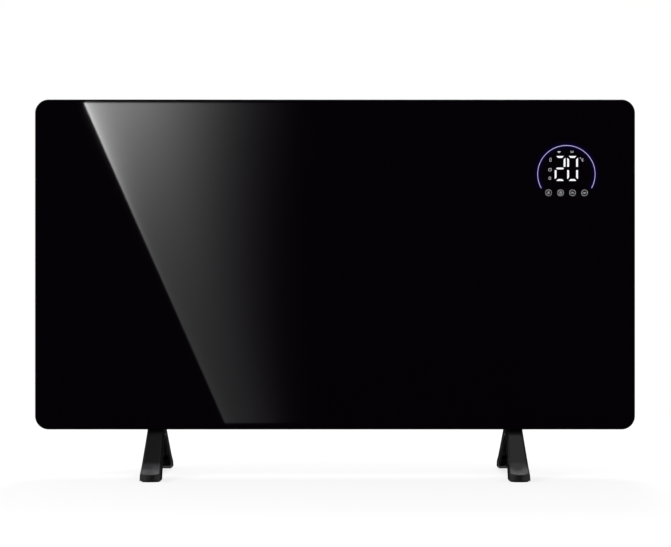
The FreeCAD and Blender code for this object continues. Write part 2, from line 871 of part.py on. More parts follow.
def pierce(body, axis, low, high, radius, places):
    """Pierce a set of six-sided holes that match the screws put through them."""
    upright = axis == "x"
    return cut(body, axis, low, high, *(hexagon(across, up, radius, upright) for across, up in places))


def make_chassis_frame():
    """Return the folded frame that is bonded to the glass: a flange with a rim behind it."""
    frame = new_body("chassis_frame")
    add(frame, "y", "flange_face", "chassis_rear",
        rectangle("-chassis_half", "chassis_half", "chassis_bottom", "chassis_top",
                  "case_corner - cover_gauge"))
    cut(frame, "y", "flange_back", "chassis_rear",
        rectangle("-chassis_half + chassis_gauge", "chassis_half - chassis_gauge",
                  "chassis_bottom + chassis_gauge", "chassis_top - chassis_gauge",
                  "case_corner - cover_gauge - chassis_gauge"))
    cut(frame, "y", "flange_face", "flange_back",
        rectangle("-opening_half", "opening_half", "opening_bottom", "opening_top", "opening_corner"))
    tapped = "sheet_shank_radius + thread_clearance"
    pierce(frame, "z", "0", "glass_top", tapped, [(x, "wall_screw_depth") for x in WALL_SCREW_X])
    pierce(frame, "x", "-glass_width / 2", "glass_width / 2", tapped,
           [("wall_screw_depth", z) for z in WALL_SCREW_Z])
    pierce(frame, "y", "flange_face", "flange_back", tapped,
           BAR_FIXINGS + SHIELD_FIXINGS + CARRIER_FIXINGS)
    return frame


# Rear cover: a drawn pan with vents, a stiffening panel and its cut-outs.
def make_rear_cover():
    """Return the rear cover."""
    cover = new_body("rear_cover")
    add(cover, "y", "flange_face", "case_back",
        rectangle("-case_half", "case_half", "case_bottom", "case_top", "case_corner"))
    chamfer(cover, "cover_edge", lies_at("y", "case_back"))
    shell_out(cover, "cover_gauge", lies_at("y", "flange_face"))
    press_panel(cover)
    cut_vents(cover)
    cut_keyholes(cover)
    cut_side_holes(cover)
    cut_floor_holes(cover)
    return cover


def press_panel(cover):
    """Press the shallow panel that stiffens the back, equally thick all over."""
    middle, half_width, half_height = "heat_middle", "panel_width / 2", "panel_height / 2"
    add(cover, "y", "cover_inner_back - panel_depth", "cover_inner_back",
        rectangle(f"{middle} - {half_width}", f"{middle} + {half_width}",
                  f"case_middle - {half_height}", f"case_middle + {half_height}", "panel_corner"))
    cut(cover, "y", "case_back - panel_depth", "case_back",
        rectangle(f"{middle} - {half_width} + cover_gauge", f"{middle} + {half_width} - cover_gauge",
                  f"case_middle - {half_height} + cover_gauge",
                  f"case_middle + {half_height} - cover_gauge", "panel_corner - cover_gauge"))


def cut_vents(cover):
    """Cut the two rows of upright vents in the back, the inlets below and the outlet above."""
    low_row = "case_bottom + vent_margin"
    first_vent = "heat_middle - vent_pitch * (vent_count - 1) / 2"
    vent = cut(cover, "y", "cover_inner_back", "case_back",
               centred(first_vent, low_row, "vent_width", "vent_length"))
    repeat(cover, vent, ("x", "vent_pitch", "vent_count"),
           ("z", "case_top - case_bottom - 2 * vent_margin", "2"))
    inlet = cut(cover, "z", "case_bottom", "cover_floor",
                centred("-inlet_pitch * (inlet_count - 1) / 2", "grille_middle", "inlet_width",
                        "inlet_length"))
    repeat(cover, inlet, ("x", "inlet_pitch", "inlet_count"))
    half_length, half_width = grille_window()
    cut(cover, "z", "case_top - cover_gauge", "case_top",
        rectangle(f"heat_middle - {half_length}", f"heat_middle + {half_length}",
                  f"grille_middle - {half_width}", f"grille_middle + {half_width}"))


def cut_keyholes(cover):
    """Cut the two keyholes that hang the heater on a wall: a round entry with a slot above it."""
    level = "case_top - keyhole_drop"
    entries = [disc(f"{side} * keyhole_x", level, "keyhole_entry") for side in ("-1", "1")]
    necks = [slot(f"{side} * keyhole_x", f"{level} + keyhole_rise / 2",
                  "keyhole_rise + keyhole_slot", "keyhole_slot") for side in ("-1", "1")]
    cut(cover, "y", "cover_inner_back", "case_back", *entries)
    cut(cover, "y", "cover_inner_back", "case_back", *necks)


def cut_side_holes(cover):
    """Cut the holes for the mains switch and the cord gland, and the screw holes round the rim."""
    half_width = "(switch_body_width / 2 + switch_play)"
    half_height = "(switch_body_height / 2 + switch_play)"
    cut(cover, "x", "case_half - cover_gauge", "case_half",
        rectangle(f"switch_middle - {half_width}", f"switch_middle + {half_width}",
                  f"switch_rise - {half_height}", f"switch_rise + {half_height}"),
        disc("gland_middle", "gland_rise", "gland_thread_radius + gland_play"))
    clear = "sheet_shank_radius + hole_clearance"
    pierce(cover, "z", "0", "glass_top", clear, [(x, "wall_screw_depth") for x in WALL_SCREW_X])
    pierce(cover, "x", "-glass_width / 2", "glass_width / 2", clear,
           [("wall_screw_depth", z) for z in WALL_SCREW_Z])


def cut_floor_holes(cover):
    """Cut the holes for the foot screws and the room sensor's neck."""
    feet = [hexagon(x, y, "foot_shank_radius + hole_clearance") for x in FOOT_X for y in FOOT_SCREW_Y]
    neck_width = "cage_neck_width + 2 * hole_clearance"
    neck = centred("sensor_x", "sensor_y", neck_width, neck_width)
    cut(cover, "z", "case_bottom", "cover_floor", *feet, neck)


def grille_window():
    """Return half the length and half the width of the outlet window in the cover."""
    return ("(grille_pitch * grille_columns / 2 + grille_border / 2)",
            "(grille_row_pitch * grille_rows / 2)")


def make_outlet_grille():
    """Return the moulded grille that drops into the top of the cover, with rows of long slits."""
    grille = new_body("outlet_grille")
    half_length, half_width = grille_window()
    add(grille, "z", "case_top - grille_depth", "case_top",
        rectangle(f"heat_middle - {half_length} + cover_play", f"heat_middle + {half_length} - cover_play",
                  f"grille_middle - {half_width} + cover_play",
                  f"grille_middle + {half_width} - cover_play"))
    add(grille, "z", "case_top", "case_top + grille_flange",
        rectangle(f"heat_middle - {half_length} - grille_border",
                  f"heat_middle + {half_length} + grille_border",
                  f"grille_middle - {half_width} - grille_border",
                  f"grille_middle + {half_width} + grille_border", "grille_border"))
    slit = cut(grille, "z", "case_top - grille_depth", "case_top + grille_flange",
               centred("heat_middle - grille_pitch * (grille_columns - 1) / 2",
                       "grille_middle - grille_row_pitch * (grille_rows - 1) / 2",
                       "grille_slit", "grille_slit_width"))
    repeat(grille, slit, ("x", "grille_pitch", "grille_columns"), ("y", "grille_row_pitch", "grille_rows"))
    return grille


# Heating stack: flat layers pressed to the back of the glass.
def stack_sheet(label, front, back, *holes):
    """Return one layer of the heating stack."""
    layer = new_body(label)
    add(layer, "y", front, back,
        rectangle("film_left", "film_right", "film_bottom", "film_top"))
    if holes:
        cut(layer, "y", front, back, *holes)
    return layer


def stud_holes(radius):
    """Return holes round the two film terminals."""
    return [hexagon("stud_x", z, radius) for z in ("stud_low", "stud_high")]


def make_heating_stack():
    """Return the film, the mica, the reflector and the insulation."""
    wide_holes = stud_holes("stud_head_radius + hole_clearance")
    narrow_holes = stud_holes("stud_radius + 2 * hole_clearance")
    cup_width = "cutout_cup_width + 4 * hole_clearance"
    cup_holes = [centred(x, "case_middle", cup_width, cup_width) for x in BAR_X]
    return [
        stack_sheet("heating_film", "glass_back", "film_back"),
        stack_sheet("mica_sheet", "track_back", "mica_back", *wide_holes),
        stack_sheet("reflector_foil", "mica_back", "foil_back", *narrow_holes),
        stack_sheet("insulation_board", "foil_back", "insulation_back", *narrow_holes, *cup_holes),
    ]


def make_heating_track():
    """Return the resistive track: level strips joined by turns into one winding path."""
    track = new_body("heating_track")
    strip = add(track, "y", "film_back", "track_back",
                rectangle("track_left", "track_right", "track_bottom", "track_bottom + strip_width"))
    repeat(track, strip, ("z", "track_pitch", "2 * track_pairs"))
    near_turn = add(track, "y", "film_back", "track_back",
                    rectangle("track_left", "track_left + link_width",
                              "track_bottom + strip_width", "track_bottom + track_pitch"))
    repeat(track, near_turn, ("z", "2 * track_pitch", "track_pairs"))
    far_turn = add(track, "y", "film_back", "track_back",
                   rectangle("track_right - link_width", "track_right",
                             "track_bottom + track_pitch + strip_width",
                             "track_bottom + 2 * track_pitch"))
    repeat(track, far_turn, ("z", "2 * track_pitch", "track_pairs - 1"))
    return track


def make_film_terminals():
    """Return the two studs that bring the track's ends out through the insulation, with their nuts."""
    studs = new_body("film_terminals")
    levels = ("stud_low", "stud_high")
    add(studs, "y", "track_back", "mica_back", *(hexagon("stud_x", z, "stud_head_radius") for z in levels))
    add(studs, "y", "mica_back", "stud_tip", *(hexagon("stud_x", z, "stud_radius") for z in levels))
    add(studs, "y", "insulation_back", "insulation_back + stud_nut_height",
        *(hexagon("stud_x", z, "stud_nut_radius") for z in levels))
    return studs


# Cross bars that press the stack to the glass, and the cut-outs that they carry.
def make_cross_bar(label, middle):
    """Return one folded bar: feet on the flange, risers and a run behind the insulation."""
    bar = new_body(label)
    add(bar, "x", f"{middle} - bar_width / 2", f"{middle} + bar_width / 2",
        polygon(("flange_back", "foot_low"), ("flange_back + bar_gauge", "foot_low"),
                ("flange_back + bar_gauge", "bar_low"), ("bar_back", "bar_low"),
                ("bar_back", "bar_high"), ("flange_back + bar_gauge", "bar_high"),
                ("flange_back + bar_gauge", "foot_high"), ("flange_back", "foot_high"),
                ("flange_back", "bar_high - bar_gauge"), ("insulation_back", "bar_high - bar_gauge"),
                ("insulation_back", "bar_low + bar_gauge"), ("flange_back", "bar_low + bar_gauge")))
    pierce(bar, "y", "flange_back", "flange_back + bar_gauge", "sheet_shank_radius + hole_clearance",
           [(middle, "fix_low"), (middle, "fix_high")])
    window = "cutout_cup_width + 2 * hole_clearance"
    cut(bar, "y", "insulation_back", "bar_back", centred(middle, "case_middle", window, window))
    return bar


def make_overheat_cutout(label, middle):
    """Return a square-cased cut-out: a cup through the bar, a plate on it, a body and two blades."""
    cutout = new_body(label)

    def block(low, high, width, height):
        return add(cutout, "y", low, high, centred(middle, "case_middle", width, height))

    top = "bar_back + cutout_body_height"
    block("foil_back + cover_play", "bar_back", "cutout_cup_width", "cutout_cup_width")
    block("bar_back", "bar_back + cutout_plate", "cutout_plate_width", "cutout_body_width")
    block("bar_back + cutout_plate", top, "cutout_body_width", "cutout_body_width")
    blade = add(cutout, "y", top, f"{top} + blade_length",
                centred(f"{middle} - cutout_blade_pitch / 2", "case_middle", "blade_thickness",
                        "blade_width"))
    repeat(cutout, blade, ("x", "cutout_blade_pitch", "2"))
    return cutout


# Heat shield between the hot side and the electronics.
LEAD_ROWS = ["block_first", "block_first + block_pitch"]


def make_heat_shield():
    """Return the shield: an upright sheet with a fixing tab at each end and a window for the leads."""
    shield = new_body("heat_shield")
    add(shield, "x", "shield_left", "shield_right",
        rectangle("flange_back", "shield_back", "foot_low", "foot_high"))
    for low, high in (("foot_low", "opening_bottom"), ("opening_top", "foot_high")):
        add(shield, "y", "flange_back", "flange_back + shield_gauge",
            rectangle("shield_right", "shield_right + shield_tab", low, high))
    pierce(shield, "y", "flange_back", "flange_back + shield_gauge",
           "sheet_shank_radius + hole_clearance", SHIELD_FIXINGS)
    cut(shield, "x", "shield_left", "shield_right", grommet_outline("0"))
    return shield


def grommet_outline(grow):
    """Return the outline of the window that both element leads pass through, grown on every side."""
    return centred("lead_level", "block_first + block_pitch / 2", f"grommet_width + 2 * ({grow})",
                   f"block_pitch + grommet_width + 2 * ({grow})")


def make_lead_grommet():
    """Return the grommet: a neck in the shield's window, a lip on each side and two lead holes."""
    grommet = new_body("lead_grommet")
    add(grommet, "x", "shield_left - grommet_lip", "shield_left", grommet_outline("grommet_lip"))
    add(grommet, "x", "shield_left", "shield_right", grommet_outline("-thread_clearance"))
    add(grommet, "x", "shield_right", "shield_right + grommet_lip", grommet_outline("grommet_lip"))
    cut(grommet, "x", "shield_left - grommet_lip", "shield_right + grommet_lip",
        *(centred("lead_level", z, "2 * lead_hole", "2 * lead_hole") for z in LEAD_ROWS))
    return grommet


# Display module behind the upper right of the glass.
def board_outline(grow):
    """Return the display board's outline, grown on every side."""
    return rectangle(f"display_left - ({grow})", f"display_right + ({grow})",
                     f"display_low - ({grow})", f"display_high + ({grow})")


def make_control_carrier():
    """Return the moulded carrier: a frame on the glass with a ledge for the board and two ears."""
    carrier = new_body("control_carrier")
    add(carrier, "y", "glass_back", "display_rear + carrier_tail", board_outline("carrier_reach"))
    for level in EAR_Z:
        add(carrier, "y", "flange_back", "flange_back + ear_thickness",
            rectangle("display_right + cover_play", "ear_x + ear_length / 2",
                      f"{level} - ear_height / 2", f"{level} + ear_height / 2"))
    cut(carrier, "y", "display_face", "display_rear + carrier_tail", board_outline("cover_play"))
    cut(carrier, "y", "glass_back", "display_face", board_outline("-carrier_ledge"))
    pierce(carrier, "y", "flange_back", "flange_back + ear_thickness",
           "sheet_shank_radius + hole_clearance", CARRIER_FIXINGS)
    return carrier


def make_display_board():
    """Return the display's circuit board."""
    board = new_body("display_board")
    add(board, "y", "display_face", "display_rear", board_outline("0"))
    return board


def make_digit_module():
    """Return the block behind the two seven-segment digits."""
    module = new_body("digit_module")
    middle = "display_z + digit_rise"
    add(module, "y", "lens_face", "display_face",
        rectangle("display_x - digit_module_width / 2", "display_x + digit_module_width / 2",
                  f"{middle} - digit_module_height / 2", f"{middle} + digit_module_height / 2"))
    chamfer(module, "digit_bevel", lies_at("y", "lens_face"))
    return module


def make_arc_light_guide():
    """Return the light guide: a band turned most of the way round the display's centre."""
    guide = new_body("arc_light_guide")
    inner, outer = "arc_radius - arc_band / 2", "arc_radius + arc_band / 2"
    turn(guide, ("lens_face", inner), ("display_face", inner), ("display_face", outer),
         ("lens_face", outer), angle="arc_sweep", midplane=True, about="H_Axis", axis="x")
    put(guide, "display_x", "0", "display_z")
    return guide


def make_icon_lights():
    """Return the small lights behind the icons: a column, a pair and the unit sign."""
    lights = new_body("icon_lights")
    front = "display_face - icon_height"

    def light(across, up):
        half = "icon_size / 2"
        return add(lights, "y", front, "display_face",
                   rectangle(f"{across} - {half}", f"{across} + {half}", f"{up} - {half}", f"{up} + {half}"))

    column_bottom = "display_z + icon_column_top - icon_column_pitch * (icon_column_count - 1)"
    repeat(lights, light("display_x - icon_column", column_bottom),
           ("z", "icon_column_pitch", "icon_column_count"))
    repeat(lights, light("display_x - icon_row_left", "display_z + icon_row_rise"),
           ("x", "icon_row_pitch", "2"))
    light("display_x + unit_icon_side", "display_z + icon_column_top")
    return lights


def make_touch_pads():
    """Return the row of conductive pads between the board and the glass, one for each key."""
    pads = new_body("touch_pads")
    pad = add(pads, "y", "glass_back", "display_face",
              centred("display_x - key_pitch * (key_count - 1) / 2", "display_z - key_drop",
                      "key_pad_width", "key_pad_width"))
    repeat(pads, pad, ("x", "key_pitch", "key_count"))
    return pads


def make_plug(label, front, back, low, middle, width):
    """Return a board connector that closes round its cable's end."""
    plug = new_body(label)
    add(plug, "y", front, back,
        rectangle(f"{middle} - {width} / 2", f"{middle} + {width} / 2", low, f"{low} + plug_height"))
    return plug


def make_ribbon_cable():
    """Return the flat ribbon from the display board back and down to the power board."""
    ribbon = new_body("ribbon_cable")
    half = "ribbon_thickness / 2"
    add(ribbon, "x", "display_x - ribbon_width / 2", "display_x + ribbon_width / 2",
        polygon(("display_rear + plug_depth", f"ribbon_level - {half}"),
                (f"ribbon_drop - {half}", f"ribbon_level - {half}", f"ribbon_bend - {half}"),
                (f"ribbon_drop - {half}", "board_top"), (f"ribbon_drop + {half}", "board_top"),
                (f"ribbon_drop + {half}", f"ribbon_level + {half}", f"ribbon_bend + {half}"),
                ("display_rear + plug_depth", f"ribbon_level + {half}")))
    return ribbon


# Power board and what stands on it.
def board_corners():
    """Return the four fixing points of the power board."""
    sides = ("board_left + board_corner_inset", "board_right - board_corner_inset")
    levels = ("board_bottom + board_corner_inset", "board_top - board_corner_inset")
    return [(x, z) for x in sides for z in levels]


def make_power_board():
    """Return the power board."""
    board = new_body("power_board")
    add(board, "y", "board_face", "board_back",
        rectangle("board_left", "board_right", "board_bottom", "board_top"))
    pierce(board, "y", "board_face", "board_back", "board_shank_radius + hole_clearance", board_corners())
    return board


def make_board_standoffs():
    """Return the four tapped posts between the cover's back and the power board."""
    posts = new_body("board_standoffs")
    add(posts, "y", "board_back", "cover_inner_back",
        *(hexagon(x, z, "standoff_radius") for x, z in board_corners()))
    pierce(posts, "y", "board_back", "cover_inner_back", "board_shank_radius + thread_clearance",
           board_corners())
    return posts


def make_board_block(label, left, low, width, length, height):
    """Return a boxed component that stands on the power board, its outer edges broken."""
    block = new_body(label)
    face = f"board_face - {height}"
    add(block, "y", face, "board_face", rectangle(left, f"{left} + {width}", low, f"{low} + {length}"))
    chamfer(block, "digit_bevel", lies_at("y", face))
    return block


def make_board_blocks():
    """Return the two relays and the supply module."""
    relay_left = "board_left + relay_side"
    relay_low = "board_bottom + relay_rise - relay_length"
    relay = ("relay_width", "relay_length", "relay_height")
    supply = ("supply_width", "supply_length", "supply_height")
    return [
        make_board_block("relay_left", relay_left, relay_low, *relay),
        make_board_block("relay_right", f"{relay_left} + relay_pitch", relay_low, *relay),
        make_board_block("supply_module", "board_left + supply_side", "board_bottom + supply_rise", *supply),
    ]


def make_terminal_block():
    """Return the terminal block: a row of poles with lead holes on both sides and screw wells."""
    block = new_body("terminal_block")
    front, pole = "board_face - block_height", ("z", "block_pitch", "block_poles")
    add(block, "y", front, "board_face",
        rectangle("block_left", "block_right", "block_bottom", "block_bottom + block_pitch * block_poles"))
    for low, high in (("block_left", "block_left + block_entry"),
                      ("block_right - block_entry", "block_right")):
        entry = cut(block, "x", low, high,
                    centred("lead_level", "block_first", "block_entry_width", "block_entry_width"))
        repeat(block, entry, pole)
    well = cut(block, "y", front, f"{front} + block_well_depth",
               centred("(block_left + block_right) / 2", "block_first", "block_well_width",
                       "block_well_width"))
    repeat(block, well, pole)
    return block


# Tilt switch: a pendulum on a pin in a closed box.
def make_tilt_housing():
    """Return the open box of the tilt switch with the pivot pin across it."""
    housing = new_body("tilt_housing")
    add(housing, "x", "tilt_left", "tilt_right",
        rectangle("tilt_front", "board_face", "tilt_bottom", "tilt_top"))
    cut(housing, "x", "tilt_left + tilt_wall", "tilt_right",
        rectangle("tilt_front + tilt_wall", "board_face - tilt_wall",
                  "tilt_bottom + tilt_wall", "tilt_top - tilt_wall"))
    add(housing, "x", "tilt_left + tilt_wall", "tilt_right",
        disc("tilt_pivot_y", "tilt_pivot_z", "tilt_pin_radius"))
    return housing


def make_tilt_lid():
    """Return the lid that closes the tilt switch."""
    lid = new_body("tilt_lid")
    add(lid, "x", "tilt_right", "tilt_right + tilt_wall",
        rectangle("tilt_front", "board_face", "tilt_bottom", "tilt_top"))
    return lid


def make_tilt_pendulum():
    """Return the pendulum: an eye on the pin, an arm and a heavy bob."""
    pendulum = new_body("tilt_pendulum")
    low, high = "tilt_middle - tilt_swing_width / 2", "tilt_middle + tilt_swing_width / 2"
    add(pendulum, "x", low, high, disc("tilt_pivot_y", "tilt_pivot_z", "tilt_eye_radius"))
    add(pendulum, "x", low, high,
        rectangle("tilt_pivot_y - tilt_arm_width / 2", "tilt_pivot_y + tilt_arm_width / 2",
                  "tilt_bob_z", "tilt_pivot_z"))
    add(pendulum, "x", low, high,
        centred("tilt_pivot_y", "tilt_bob_z", "tilt_bob_width", "tilt_bob_height"))
    drill(pendulum, "x", low, high, "tilt_pin_radius + pin_clearance", [("tilt_pivot_y", "tilt_pivot_z")])
    return pendulum


# Mains switch in the right wall of the case.
def switch_outline(width, height):
    """Return a rectangle centred on the switch."""
    return centred("switch_middle", "switch_rise", width, height)


def make_switch_housing():
    """Return the switch housing: a bezel, a body and a well with bores for the rocker's trunnions."""
    housing = new_body("switch_housing")
    add(housing, "x", "switch_inner", "case_half", switch_outline("switch_body_width", "switch_body_height"))
    add(housing, "x", "case_half", "bezel_face", switch_outline("bezel_width", "bezel_height"))
    cut(housing, "x", "well_floor", "bezel_face", switch_outline("well_width", "window_height"))
    drill(housing, "y", "switch_middle - switch_body_width / 2", "switch_middle + switch_body_width / 2",
          "trunnion_radius + pin_clearance", [("rocker_x", "switch_rise")])
    return housing


def make_switch_rocker():
    """Return the rocker: a dished key on two trunnions, resting in its on position."""
    rocker = new_body("switch_rocker")
    add(rocker, "y", "-rocker_width / 2", "rocker_width / 2",
        polygon(("-rocker_keel", "-rocker_keel_half"), ("rocker_crown", "-rocker_half"),
                ("rocker_dip", "0", "2 * rocker_half"), ("rocker_crown", "rocker_half"),
                ("-rocker_keel", "rocker_keel_half")))
    add(rocker, "y", "-trunnion_end", "trunnion_end", disc("0", "0", "trunnion_radius"))
    put(rocker, "rocker_x", "switch_middle", "switch_rise",
        rotation=Rotation(Vector(0, 1, 0), -number("rocker_tilt")))
    return rocker


def make_switch_terminals():
    """Return the four blades behind the switch."""
    blades = new_body("switch_terminals")
    first_row, first_level = "switch_middle - blade_rows / 2", "switch_rise - blade_spread / 2"
    blade = add(blades, "x", "switch_inner - blade_length", "switch_inner",
                rectangle(f"{first_row} - blade_thickness / 2", f"{first_row} + blade_thickness / 2",
                          f"{first_level} - blade_width / 2", f"{first_level} + blade_width / 2"))
    repeat(blades, blade, ("y", "blade_rows", "2"), ("z", "blade_spread", "2"))
    return blades


# Cord gland below the switch.
def make_cord_gland():
    """Return the gland: a barrel through the wall, a six-sided flange and a six-sided clamp end."""
    gland = new_body("cord_gland")
    end = "gland_flange + gland_clamp"
    add(gland, "z", "-gland_thread_length", "0", disc("0", "0", "gland_thread_radius"))
    add(gland, "z", "0", "gland_flange", hexagon("0", "0", "gland_flange_radius"))
    add(gland, "z", "gland_flange", end, hexagon("0", "0", "gland_clamp_radius"))
    cut(gland, "z", "-gland_thread_length", end, disc("0", "0", "gland_bore"))
    put(gland, "case_half", "gland_middle", "gland_rise", "right")
    return gland


def make_gland_nut():
    """Return the six-sided nut inside the wall."""
    nut = new_body("gland_nut")
    add(nut, "z", "-cover_gauge - nut_height", "-cover_gauge", hexagon("0", "0", "nut_radius"),
        disc("0", "0", "gland_thread_radius + thread_clearance"))
    put(nut, "case_half", "gland_middle", "gland_rise", "right")
    return nut


# Room sensor in a cage under the case, where the air comes in.
def make_sensor_cage():
    """Return the cage: a neck in the floor's hole, a flange under it and a windowed basket."""
    cage = new_body("sensor_cage")
    low = "case_bottom - cage_drop"

    def square(width):
        return centred("sensor_x", "sensor_y", width, width)

    add(cage, "z", low, "case_bottom - cage_flange", square("cage_width"))
    add(cage, "z", "case_bottom - cage_flange", "case_bottom", square("cage_flange_width"))
    add(cage, "z", "case_bottom", "case_bottom + cage_neck", square("cage_neck_width"))
    cut(cage, "z", low, "case_bottom + cage_neck", square("cage_bore"))
    window = ("case_bottom - cage_drop + cage_flange", "case_bottom - 2 * cage_flange")
    for axis, middle in (("x", "sensor_y"), ("y", "sensor_x")):
        other = "sensor_x" if axis == "x" else "sensor_y"
        cut(cage, axis, f"{other} - cage_width / 2", f"{other} + cage_width / 2",
            rectangle(f"{middle} - cage_window / 2", f"{middle} + cage_window / 2", *window))
    return cage


def make_room_sensor():
    """Return the sensor: a round probe with a square collar that sits on the cage's neck."""
    sensor = new_body("room_sensor")
    seat = "case_bottom + cage_neck"
    add(sensor, "z", "case_bottom - sensor_drop", seat, disc("sensor_x", "sensor_y", "sensor_radius"))
    add(sensor, "z", seat, f"{seat} + sensor_collar",
        centred("sensor_x", "sensor_y", "cage_neck_width", "cage_neck_width"))
    return sensor


# Feet: hollow moulded A shapes, made as a shell less its core.
def leg_side(side):
    """Return the outer corners of one leg as seen from the side, from the floor up to the case."""
    return [(f"{side} * foot_half", "pad_proud"), (f"{side} * foot_half", "toe_height"),
            (f"{side} * ankle_reach", "ankle_height", "ankle_curve"),
            (f"{side} * neck_half", "knee_height", "knee_curve"), (f"{side} * neck_half", "case_bottom")]


def core_side(side):
    """Return the corners of one leg's core, a wall's thickness inside its outer corners."""
    return [(f"{side} * core_reach", "core_floor"), (f"{side} * core_reach", "core_toe"),
            (f"{side} * core_ankle", "ankle_height - foot_wall", "ankle_curve + foot_wall"),
            (f"{side} * core_neck", "core_knee", "knee_curve + foot_wall"),
            (f"{side} * core_neck", "bridge_bottom")]


def foot_plan():
    """Return the foot's plan at the floor: straight sides and two shallow round noses."""
    half = "foot_width_floor / 2"
    return polygon((f"-{half}", "-shoulder"), ("0", "-nose_corner", "nose_curve"), (half, "-shoulder"),
                   (half, "shoulder"), ("0", "nose_corner", "nose_curve"), (f"-{half}", "shoulder"))


def core_plan():
    """Return the core's plan at the floor, a wall's thickness inside the foot's."""
    half = "(foot_width_floor / 2 - foot_wall)"
    reach = "(shoulder - foot_wall)"
    return rectangle(f"-{half}", half, f"-{reach}", reach)


def add_drafted_form(body, plan, side_outline):
    """Add a drafted form on a plan and keep what the side outline holds."""
    add(body, "z", "0", "case_bottom", plan,
        draft="-atan((foot_width_floor - foot_width_top) / (2 * case_bottom))")
    around = rectangle("-foot_length", "foot_length", "-toe_height", "case_top")
    cut(body, "x", "-foot_width_floor", "foot_width_floor", around, side_outline)


def on_outer_rim(edge):
    """Tell whether an edge runs along the outer rim of a leg, where its faces meet its sides."""
    box = edge.BoundBox
    middle = edge.valueAt((edge.FirstParameter + edge.LastParameter) / 2)
    between_ends = number("pad_proud") + POSITION_TOLERANCE < box.ZMin < number("bridge_bottom")
    straight_across = edge.Curve.TypeId == "Part::GeomLine" and abs(middle.x) < POSITION_TOLERANCE
    arch_slope = number("(arch_height - pad_proud) / arch_reach")
    arch_level = number("arch_height") - abs(middle.y) * arch_slope
    behind_nose = abs(middle.y) < number("shoulder - foot_wall")
    above_arch = middle.z > arch_level + number("foot_wall")
    return between_ends and not straight_across and behind_nose and above_arch


def make_foot(label, middle):
    """Return one foot: a tapered A with shallow round noses, hollow from below, a rib in each leg."""
    shell = new_body(f"{label}_shell")
    arch = [("arch_reach", "pad_proud"), ("0", "arch_height", "arch_curve"), ("-arch_reach", "pad_proud")]
    add_drafted_form(shell, foot_plan(), polygon(*leg_side("-1"), *reversed(leg_side("1")), *arch))
    chamfer(shell, "foot_edge", on_outer_rim)
    pierce(shell, "z", "0", "case_bottom", "foot_shank_radius + hole_clearance",
           [("0", y) for y in FOOT_SCREW_Y])
    recess = "pad_width + 2 * pad_play"
    cut(shell, "z", "0", "pad_proud + pad_recess",
        *(centred("0", y, recess, recess) for y in mirrored("toe_centre")))
    core = new_body(f"{label}_core")
    add_drafted_form(core, core_plan(), polygon(*core_side("-1"), *reversed(core_side("1"))))
    for side in mirrored("rib_reach"):
        cut(core, "y", f"{side} - rib_thickness / 2", f"{side} + rib_thickness / 2",
            rectangle("-foot_width_floor", "foot_width_floor", "0", "case_bottom"))
    for body in (shell, core):
        put(body, middle, "0", "0")
    foot = doc.addObject("Part::Cut", label)
    foot.Label = label
    foot.Base = shell
    foot.Tool = core
    doc.recompute()
    return foot


def make_foot_pads(label, middle):
    """Return the two square rubber pads let into the toes of one foot."""
    pads = new_body(label)
    add(pads, "z", "0", "pad_proud + pad_recess",
        *(centred(middle, y, "pad_width", "pad_width") for y in mirrored("toe_centre")))
    return pads


def make_foot_bracket(label, middle):
    """Return the tapped plate inside the case that one foot is screwed to."""
    bracket = new_body(label)
    add(bracket, "z", "cover_floor", "cover_floor + bracket_thickness",
        centred(middle, "foot_screw_middle", "bracket_width", "bracket_depth"))
    pierce(bracket, "z", "cover_floor", "cover_floor + bracket_thickness",
           "foot_shank_radius + thread_clearance", [(middle, y) for y in FOOT_SCREW_Y])
    return bracket


# Screws, by the size of screw that each piece takes.
def make_screws():
    """Return every group of screws."""
    sheet_screw = screw("sheet_screw", "sheet")
    foot_screw = screw("foot_screw", "foot")
    board_screw = screw("board_screw", "board")
    rim = [(x, "wall_screw_depth", level, side) for x in WALL_SCREW_X
           for level, side in (("case_bottom", "down"), ("case_top", "up"))]
    rim += [(x, "wall_screw_depth", z, side) for z in WALL_SCREW_Z
            for x, side in (("-case_half", "left"), ("case_half", "right"))]
    bars = [(x, "flange_back + bar_gauge", z, "back") for x, z in BAR_FIXINGS]
    shield = [(x, "flange_back + shield_gauge", z, "back") for x, z in SHIELD_FIXINGS]
    carrier = [(x, "flange_back + ear_thickness", z, "back") for x, z in CARRIER_FIXINGS]
    feet = [(x, y, "bridge_bottom", "down") for x in FOOT_X for y in FOOT_SCREW_Y]
    board = [(x, "board_face", z, "front") for x, z in board_corners()]
    return [
        screws("cover_screws", sheet_screw, rim),
        screws("cross_bar_screws", sheet_screw, bars),
        screws("shield_screws", sheet_screw, shield),
        screws("carrier_screws", sheet_screw, carrier),
        screws("foot_screws", foot_screw, feet),
        screws("board_screws", board_screw, board),
    ]


